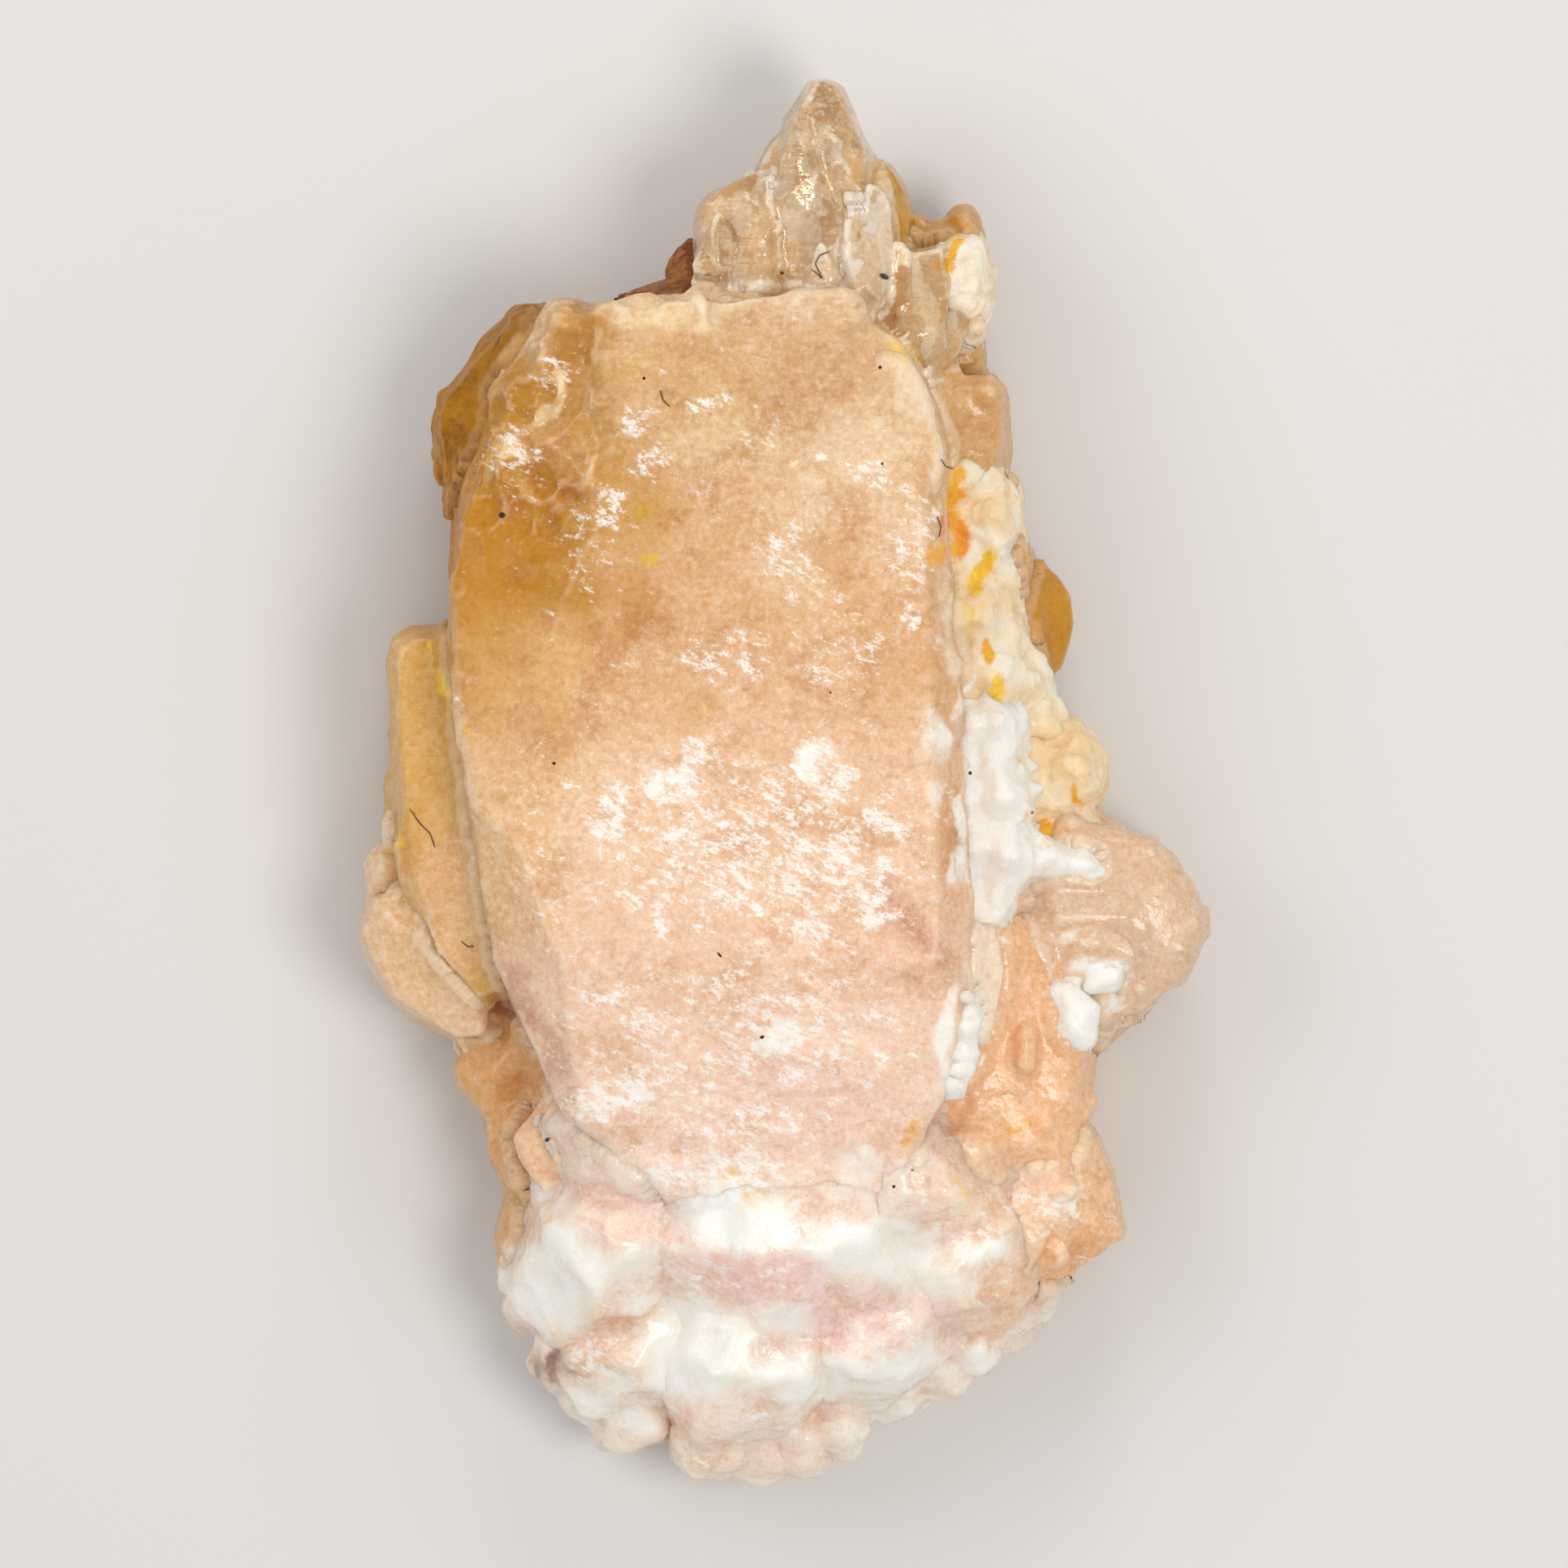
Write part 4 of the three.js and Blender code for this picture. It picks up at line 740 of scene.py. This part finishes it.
def stainedRock(name, look):
    # brown iron-stained rock: fibrous streaks of rust in two tones, dull
    net = Net(name)
    place, warped = quartzPlace(net)
    fine = net.noise(place, 0.25, 4, 0.7)
    streak = net.noise(net.stretched(warped, 2.2, 0.35, 30), 1, 5, 0.65)
    colour = net.mix(net.ramp(streak, 0.35, 0.65), painted(net, fine, streak), tone(*look["second"]))
    colour = net.mix(net.ramp(fine, 0.55, 0.8) * 0.6, colour, tone(96, 44, 8))
    bump = net.put("ShaderNodeBump", Strength=0.8, Distance=mm, Height=streak * 0.2 + fine * 0.1)
    shader = net.put("ShaderNodeBsdfPrincipled", Base_Color=colour, Roughness=net.ramp(fine, 0.3, 0.7, 0.45, 0.75),
                     Normal=bump, Subsurface_Weight=0.1, Subsurface_Scale=0.5 * mm)
    return net.finish(shader)


# The crystals

usual = {  # what the crystals have in common
    # shape: grooves filled, edges eased, and how far it grows, into its neighbours and up beside them
    "fill": 0, "ease": 1, "swell": 0.12, "overlap": 0.42, "rise": 0.4,
    # relief: fine grain, and broken faces on the edges, on the flats and on the side walls
    "grain": 0.02, "chips": 0.24, "flatChips": 0.2, "sideChips": 0.3, "sideSize": 1.7,
    # colour: shares of the body's own tone, of deeper clouds and of haze
    "bodyShare": 0.9, "deepShare": 0.75, "hazeShare": 0.5, "haze": quartzTones["haze"],
    # what lies inside: flecks, cracks, and the pale worn edges, partly painted rim light
    "flecks": 0.2, "fleckShare": 0.85, "flakeSize": 0.8, "fractures": 0, "paleEdges": 0.35,
    # relief in the material: ripples, grit, small faces and growth lines
    "ripple": 0.1, "grit": 0.03, "faces": 1.3, "faceDepth": 0.1, "lines": 0, "lineTurn": 0,
    # roughness where it is smooth and where it is dull, gloss, and light that sinks in
    "smooth": 0.16, "dull": 0.4, "shine": 0.4, "glow": 0.25, "glowDepth": 1.2,
    # clear quartz: its share, and the tone that light takes on its way through
    "clear": 0, "glassTone": (255, 250, 242), "glassRough": 0.04, "depthTone": (238, 204, 154), "depth": 70.0,
}
# big crystals, small ones, the clear ones of the crown, and feldspar
large = dict(usual, voxel=0.2, wave=0.08, waveSize=5, grainSize=0.8, chipSize=1.5)
small = dict(usual, voxel=0.12, wave=0.13, waveSize=2.4, grainSize=0.5, chipSize=1.0, flatChips=0.35)
clean = dict(small, voxel=0.1, wave=0.03, grain=0.0, chips=0.3, chipSize=1.3, flatChips=0.6, sideChips=0.15,
             overlap=0.25, rise=0.1, ripple=0.03, grit=0.004, faces=0.6, faceDepth=0.24, fractures=0.8,
             fleckShare=0.7, flakeSize=0.6, smooth=0.06, dull=0.2, shine=0.55, hazeShare=0.7, deepShare=0.6,
             paleEdges=0.8, glassRough=0.07, glassTone=(255, 250, 240), depthTone=(250, 224, 176))
lumpy = dict(small, fill=0.5, wave=0.08, waveSize=1.6, chips=0.5, chipSize=0.75, flatChips=1, swell=0.2,
             smooth=0.3, dull=0.55, rust=0.15)


def mainRelief(points):
    # the upper left corner is broken in small faces, the left facet drops behind a low edge, the top rim is
    # ragged, and the front face has faint growth steps
    x, y, z = points.T
    front = smoothStep(10, 12.5, z)
    corner = spotShare(points, -11, 15.6, 3.4, 6, 8, 0.25)
    height = corner * (1.4 * facetNoise(points, 2.1, 31) + 0.7 * facetNoise(points, 0.9, 32) - 0.5)
    leftEdge = np.interp(y, [8, 9, 13, 19.5, 20.5], [-9, -8.7, -8.2, -7.9, -7.9])
    height -= 0.28 * smoothStep(0, 0.4, leftEdge - x) * smoothStep(7.5, 9.5, y) * (1 - corner)
    rim = smoothStep(18.6, 20, y)
    height += rim * (0.9 * facetNoise(points, 1.5, 33) - 0.2)
    steps = roughNoise(points * np.array([1, 1.6, 1]), 5.5, 34)
    height += 0.1 * (smoothStep(0.02, 0.1, steps) + smoothStep(0.3, 0.38, steps) + smoothStep(-0.32, -0.24, steps))
    dense = np.maximum(spotShare(points, -3, 0.4, 4, 1.6, 0, 0.5), spotShare(points, 2.6, -2.6, 3, 3.4, 0, 0.5))
    height += dense * 0.2 * facetNoise(points, 0.8, 35) + 0.14 * facetNoise(points, 3.2, 37)
    return height * front + 0.4 * (1 - front) * facetNoise(points, 2.8, 36)


def baseRelief(points):
    # crystal ends packed together: tilted faces of two sizes over the whole mass, and small knobs along its rim
    outer = smoothStep(11, 14.5, np.hypot(points[:, 0] - 0.5, (points[:, 1] + 17.5) * 1.05))
    height = 0.55 * facetNoise(points, 2.6, 41) + 0.22 * facetNoise(points, 1.0, 42)
    return height + outer * 0.35 * facetNoise(points, 1.2, 43)


mainCrystal = dict(large, node="main_crystal", seed=11, extra=mainRelief, rise=0.1, overlap=0.1, flecks=0.35,
                   flakeSize=0.65, paleEdges=0.3, shine=0.25, smooth=0.26, dull=0.55, hazeShare=0.42,
                   deepShare=0.85)
wornCrystal("mainCrystal", quartz("mainQuartz", mainCrystal), mainCrystal)

roseBase = dict(large, node="rose_base", seed=12, extra=baseRelief, wave=0.14, waveSize=3.2, flecks=0.5, rise=1.0,
                overlap=0.3, glow=0.5, glowDepth=2.0, haze=(252, 232, 218))
wornCrystal("roseBase", quartz("roseQuartz", roseBase), roseBase)

clearPoint = dict(clean, node="clear_point", seed=13, clear=0.55, body=(238, 200, 146), haze=(248, 232, 208),
                  lines=0.03)
wornCrystal("clearPoint", quartz("pointQuartz", clearPoint), clearPoint)

frontColumns = dict(clean, node="front_column_crystals", seed=14, clear=0.4, body=(242, 214, 174),
                    haze=(250, 240, 224), hazeShare=0.8, flecks=0.3)
wornCrystal("frontColumns", quartz("columnQuartz", frontColumns), frontColumns)

shoulder = dict(clean, node="shoulder_crystals", seed=15, clear=0.5, body=(230, 188, 130), haze=(248, 232, 208),
                lines=0.05, chips=0.34)
wornCrystal("shoulderCrystals", quartz("shoulderQuartz", shoulder), shoulder)

clearBlock = dict(clean, node="clear_block", seed=16, clear=0.38, body=(230, 186, 126), haze=(246, 226, 192),
                  lines=0.05, lineTurn=60)
wornCrystal("clearBlock", quartz("blockQuartz", clearBlock), clearBlock)

goldenShoulder = dict(clean, node="golden_shoulder_crystal", seed=17, clear=0.25, body=(208, 156, 44), bodyShare=1,
                      haze=(226, 188, 104), depthTone=(240, 186, 80), shine=0.3, hazeShare=0.4, flecks=0)
wornCrystal("goldenShoulder", quartz("goldenQuartz", goldenShoulder), goldenShoulder)

honeyKnobs = dict(small, node="honey_knobs", seed=19, body=(206, 152, 72), bodyShare=1,
                  haze=(232, 190, 120), fill=0.3)
wornCrystal("honeyKnobs", quartz("honeyKnobQuartz", honeyKnobs), honeyKnobs)

leftSlab = dict(small, node="left_slab", seed=20, voxel=0.15, rise=0.5, sideChips=0.85, sideSize=2.4, chips=0.34,
                chipSize=1.8, body=(219, 170, 94), bodyShare=1, haze=(236, 196, 140), flecks=0.1, fleckShare=0.5,
                hazeShare=0.6, deepShare=0.4, shine=0.25)
wornCrystal("leftSlab", quartz("slabQuartz", leftSlab), leftSlab)

leftFlake = dict(small, node="left_flake", seed=21, body=(233, 194, 152), bodyShare=1, flecks=0.1, hazeShare=0.3,
                 deepShare=0.2)
wornCrystal("leftFlake", quartz("flakeQuartz", leftFlake), leftFlake)

amberPlate = dict(small, node="amber_plate", seed=22, sideChips=0.5, sideSize=1.3, chips=0.3, chipSize=1.1,
                  body=amber, bodyShare=1, haze=(190, 138, 30), flecks=0, fleckShare=0.1, smooth=0.3, dull=0.5,
                  shine=0.15, paleEdges=0.2)
wornCrystal("amberPlate", quartz("amberQuartz", amberPlate), amberPlate)

honeyBlock = dict(small, node="honey_block", seed=28, body=(217, 170, 110), bodyShare=1,
                  haze=(240, 208, 160), fill=0.3)
wornCrystal("honeyBlock", quartz("honeyQuartz", honeyBlock), honeyBlock)

pinkSide = dict(small, node="pink_side_crystal", seed=30, body=(213, 161, 102), bodyShare=1, haze=(240, 206, 164))
wornCrystal("pinkSideCrystal", quartz("pinkSideQuartz", pinkSide), pinkSide)

goldenBack = dict(small, node="golden_back_crystal", seed=31, body=(202, 144, 42), bodyShare=1, haze=(216, 168, 84),
                  flecks=0, deepShare=0.6, shine=0.2)
wornCrystal("goldenBackCrystal", quartz("goldenBackQuartz", goldenBack), goldenBack)

clearLobe = dict(small, node="clear_lobe", seed=33, voxel=0.14, body=(240, 202, 166), bodyShare=1, clear=0.2,
                 haze=(250, 228, 204), chips=0.34, chipSize=1.2, flecks=0.2, depthTone=(250, 222, 190), depth=60.0)
wornCrystal("clearLobe", quartz("lobeQuartz", clearLobe), clearLobe)

lobeFoot = dict(small, node="lobe_foot", seed=35, body=(222, 184, 146), bodyShare=1)
wornCrystal("lobeFoot", quartz("footQuartz", lobeFoot), lobeFoot)

peachBody = dict(small, node="peach_body", seed=34, voxel=0.14, body=(244, 192, 144), bodyShare=1, fill=0.3,
                 haze=(248, 214, 180), deepShare=0.3, paleEdges=0.1)
wornCrystal("peachBody", quartz("peachQuartz", peachBody), peachBody)

rightPoint = dict(small, node="right_point_crystal", seed=36, body=(241, 194, 148), bodyShare=1, haze=(249, 222, 194),
                  flecks=0.5)
wornCrystal("rightPoint", quartz("rightPointQuartz", rightPoint), rightPoint)

peachCrystal = dict(small, node="peach_crystal", seed=37, body=(243, 196, 154), bodyShare=1, haze=(248, 218, 188))
wornCrystal("peachCrystal", quartz("peachCrystalQuartz", peachCrystal), peachCrystal)

leftCrystals = dict(small, node="left_crystals", seed=38, body=(226, 172, 108), bodyShare=1, haze=(246, 214, 170),
                    deepShare=0.6, fill=0.3, chips=0.28)
wornCrystal("leftCrystals", quartz("leftQuartz", leftCrystals), leftCrystals)

peachBlade = dict(small, node="peach_blade", seed=25, body=(249, 224, 196), bodyShare=1, haze=(252, 240, 224))
wornCrystal("peachBlade", quartz("peachBladeQuartz", peachBlade), peachBlade)

milkyBlock = dict(small, node="milky_block", seed=32, body=(250, 246, 240), second=(252, 250, 247), milk=0.6,
                  rust=0.02, sideChips=0.05, overlap=0.25, smooth=0.3, dull=0.55)
wornCrystal("milkyBlock", feldspar("milkyWhite", milkyBlock), milkyBlock)

feldsparBlade = dict(lumpy, node="feldspar_blade", seed=24, body=(247, 238, 222), second=(250, 246, 238), milk=0.4,
                     chips=0.25)
wornCrystal("feldsparBlade", feldspar("bladeWhite", feldsparBlade), feldsparBlade)

whiteVein = dict(lumpy, node="white_vein", seed=26, body=(250, 246, 234), second=(252, 250, 246), milk=0.5, rust=0.1,
                 fill=0.9, chips=0.3, sideChips=0.05, overlap=0.2)
wornCrystal("whiteVein", feldspar("veinWhite", whiteVein), whiteVein)

feldsparVein = dict(lumpy, node="feldspar_vein", seed=27, body=(251, 222, 176), second=(252, 240, 218), milk=0.24,
                    rust=0.35, fill=0.9)
wornCrystal("feldsparVein", feldspar("veinCream", feldsparVein), feldsparVein)

feldsparKnob = dict(lumpy, node="feldspar_knob", seed=29, body=(249, 214, 164), second=(250, 226, 190), milk=0.05,
                    rust=0.25)
wornCrystal("feldsparKnob", feldspar("knobCream", feldsparKnob), feldsparKnob)

upperFeldspar = dict(lumpy, node="upper_feldspar", seed=18, body=(246, 220, 184), second=(251, 238, 216), milk=0.2,
                     rust=0.1)
wornCrystal("upperFeldspar", feldspar("upperCream", upperFeldspar), upperFeldspar)

stainedRidge = dict(small, node="stained_ridge", seed=23, body=(168, 98, 14), second=(120, 62, 8), chips=0.3)
wornCrystal("stainedRidge", stainedRock("rustyRock", stainedRidge), stainedRidge)

# Lint that lies on the crystals

def heightAt(places):
    # the height of the crystals under each place seen from above
    square = ((places - cadLow[:2]) / topCell).astype(int)
    return topOf[square[:, 0], square[:, 1]]


def addFibres(name, material, look):
    # thin tubes along bent lines: centre(s) runs through the named places at the crystals' height, and a ring of
    # radius r stands square to it; the ends taper to a point
    points, faces, start = [], [], 0
    sides, steps = look["sides"], look["steps"]
    turn = np.arange(sides) * 2 * np.pi / sides
    for places in look["lines"]:
        places = np.array(places, float)
        s = np.linspace(0, len(places) - 1, steps)
        flat = np.stack([np.interp(s, np.arange(len(places)), places[:, k]) for k in range(2)], axis=1)
        flat[1:-1] = (flat[:-2] + flat[1:-1] * 2 + flat[2:]) / 4
        high = heightAt(flat)
        sag = look["sag"] * np.sin(np.linspace(0, np.pi, steps))  # how far it may hang below its highest point
        high = np.maximum(high, high.max() - sag) + look["radius"] * 1.5
        line = np.column_stack([flat, np.convolve(np.pad(high, 2, mode="edge"), np.ones(5) / 5, "valid")])
        along = np.gradient(line, axis=0)
        along /= np.linalg.norm(along, axis=1, keepdims=True)
        across = np.cross(along, [0, 0, 1])
        across /= np.linalg.norm(across, axis=1, keepdims=True)
        up = np.cross(across, along)
        radius = look["radius"] * np.minimum(1, np.sin(np.linspace(0.12, np.pi - 0.12, steps)) * 4)
        ring = np.cos(turn)[None, :, None] * across[:, None] + np.sin(turn)[None, :, None] * up[:, None]
        points.append((line[:, None] + radius[:, None, None] * ring).reshape(-1, 3))
        i, j = np.meshgrid(np.arange(steps - 1), np.arange(sides), indexing="ij")
        a, b = i * sides + j + start, i * sides + (j + 1) % sides + start
        faces += np.stack([a, a + sides, b + sides, b], axis=-1).reshape(-1, 4).tolist()
        faces.append((np.arange(sides) + start).tolist())
        faces.append((np.arange(sides)[::-1] + start + (steps - 1) * sides).tolist())
        start += steps * sides
    mesh = meshFrom(name, np.concatenate(points), faces)
    work = bmesh.new()
    work.from_mesh(mesh)
    bmesh.ops.recalc_face_normals(work, faces=work.faces)
    work.to_mesh(mesh)
    work.free()
    print(name + ":", len(look["lines"]), "fibres")
    return addPiece(name, mesh, material)


def lintFinish(name, colour):
    # dull dark fibre, a little uneven in tone
    net = Net(name)
    place = quartzPlace(net)[0]
    darker = [(a + b) / 2 for a, b in zip(tone(*colour), (0.02, 0.015, 0.01, 1))]
    tint = net.mix(net.noise(place, 0.4, 2), tone(*colour), darker)
    shader = net.put("ShaderNodeBsdfPrincipled", Base_Color=tint, Roughness=net.noise(place, 0.2, 2) * 0.3 + 0.5)
    return net.finish(shader)


lint = {"radius": 0.024, "sides": 6, "steps": 26, "sag": 0.5, "colour": (74, 52, 24), "lines": [
    [(-16.0, -1.0), (-15.6, -1.6), (-15.1, -2.1), (-14.9, -2.7)],
    [(-13.8, -6.7), (-13.5, -6.95), (-13.25, -6.9)],
    [(-5.2, 16.7), (-5.1, 16.3), (-4.8, 16.0)],
    [(2.0, 22.7), (1.55, 22.55), (1.35, 22.2), (1.5, 21.9), (1.65, 21.55)],
    [(1.2, 21.95), (1.4, 21.8), (1.65, 21.55)],
    [(6.7, 13.8), (6.9, 13.5), (7.2, 13.4)],
    [(6.55, 11.4), (6.7, 10.9), (6.6, 10.5)],
]}
addFibres("lint", lintFinish("lintFibre", lint["colour"]), lint)
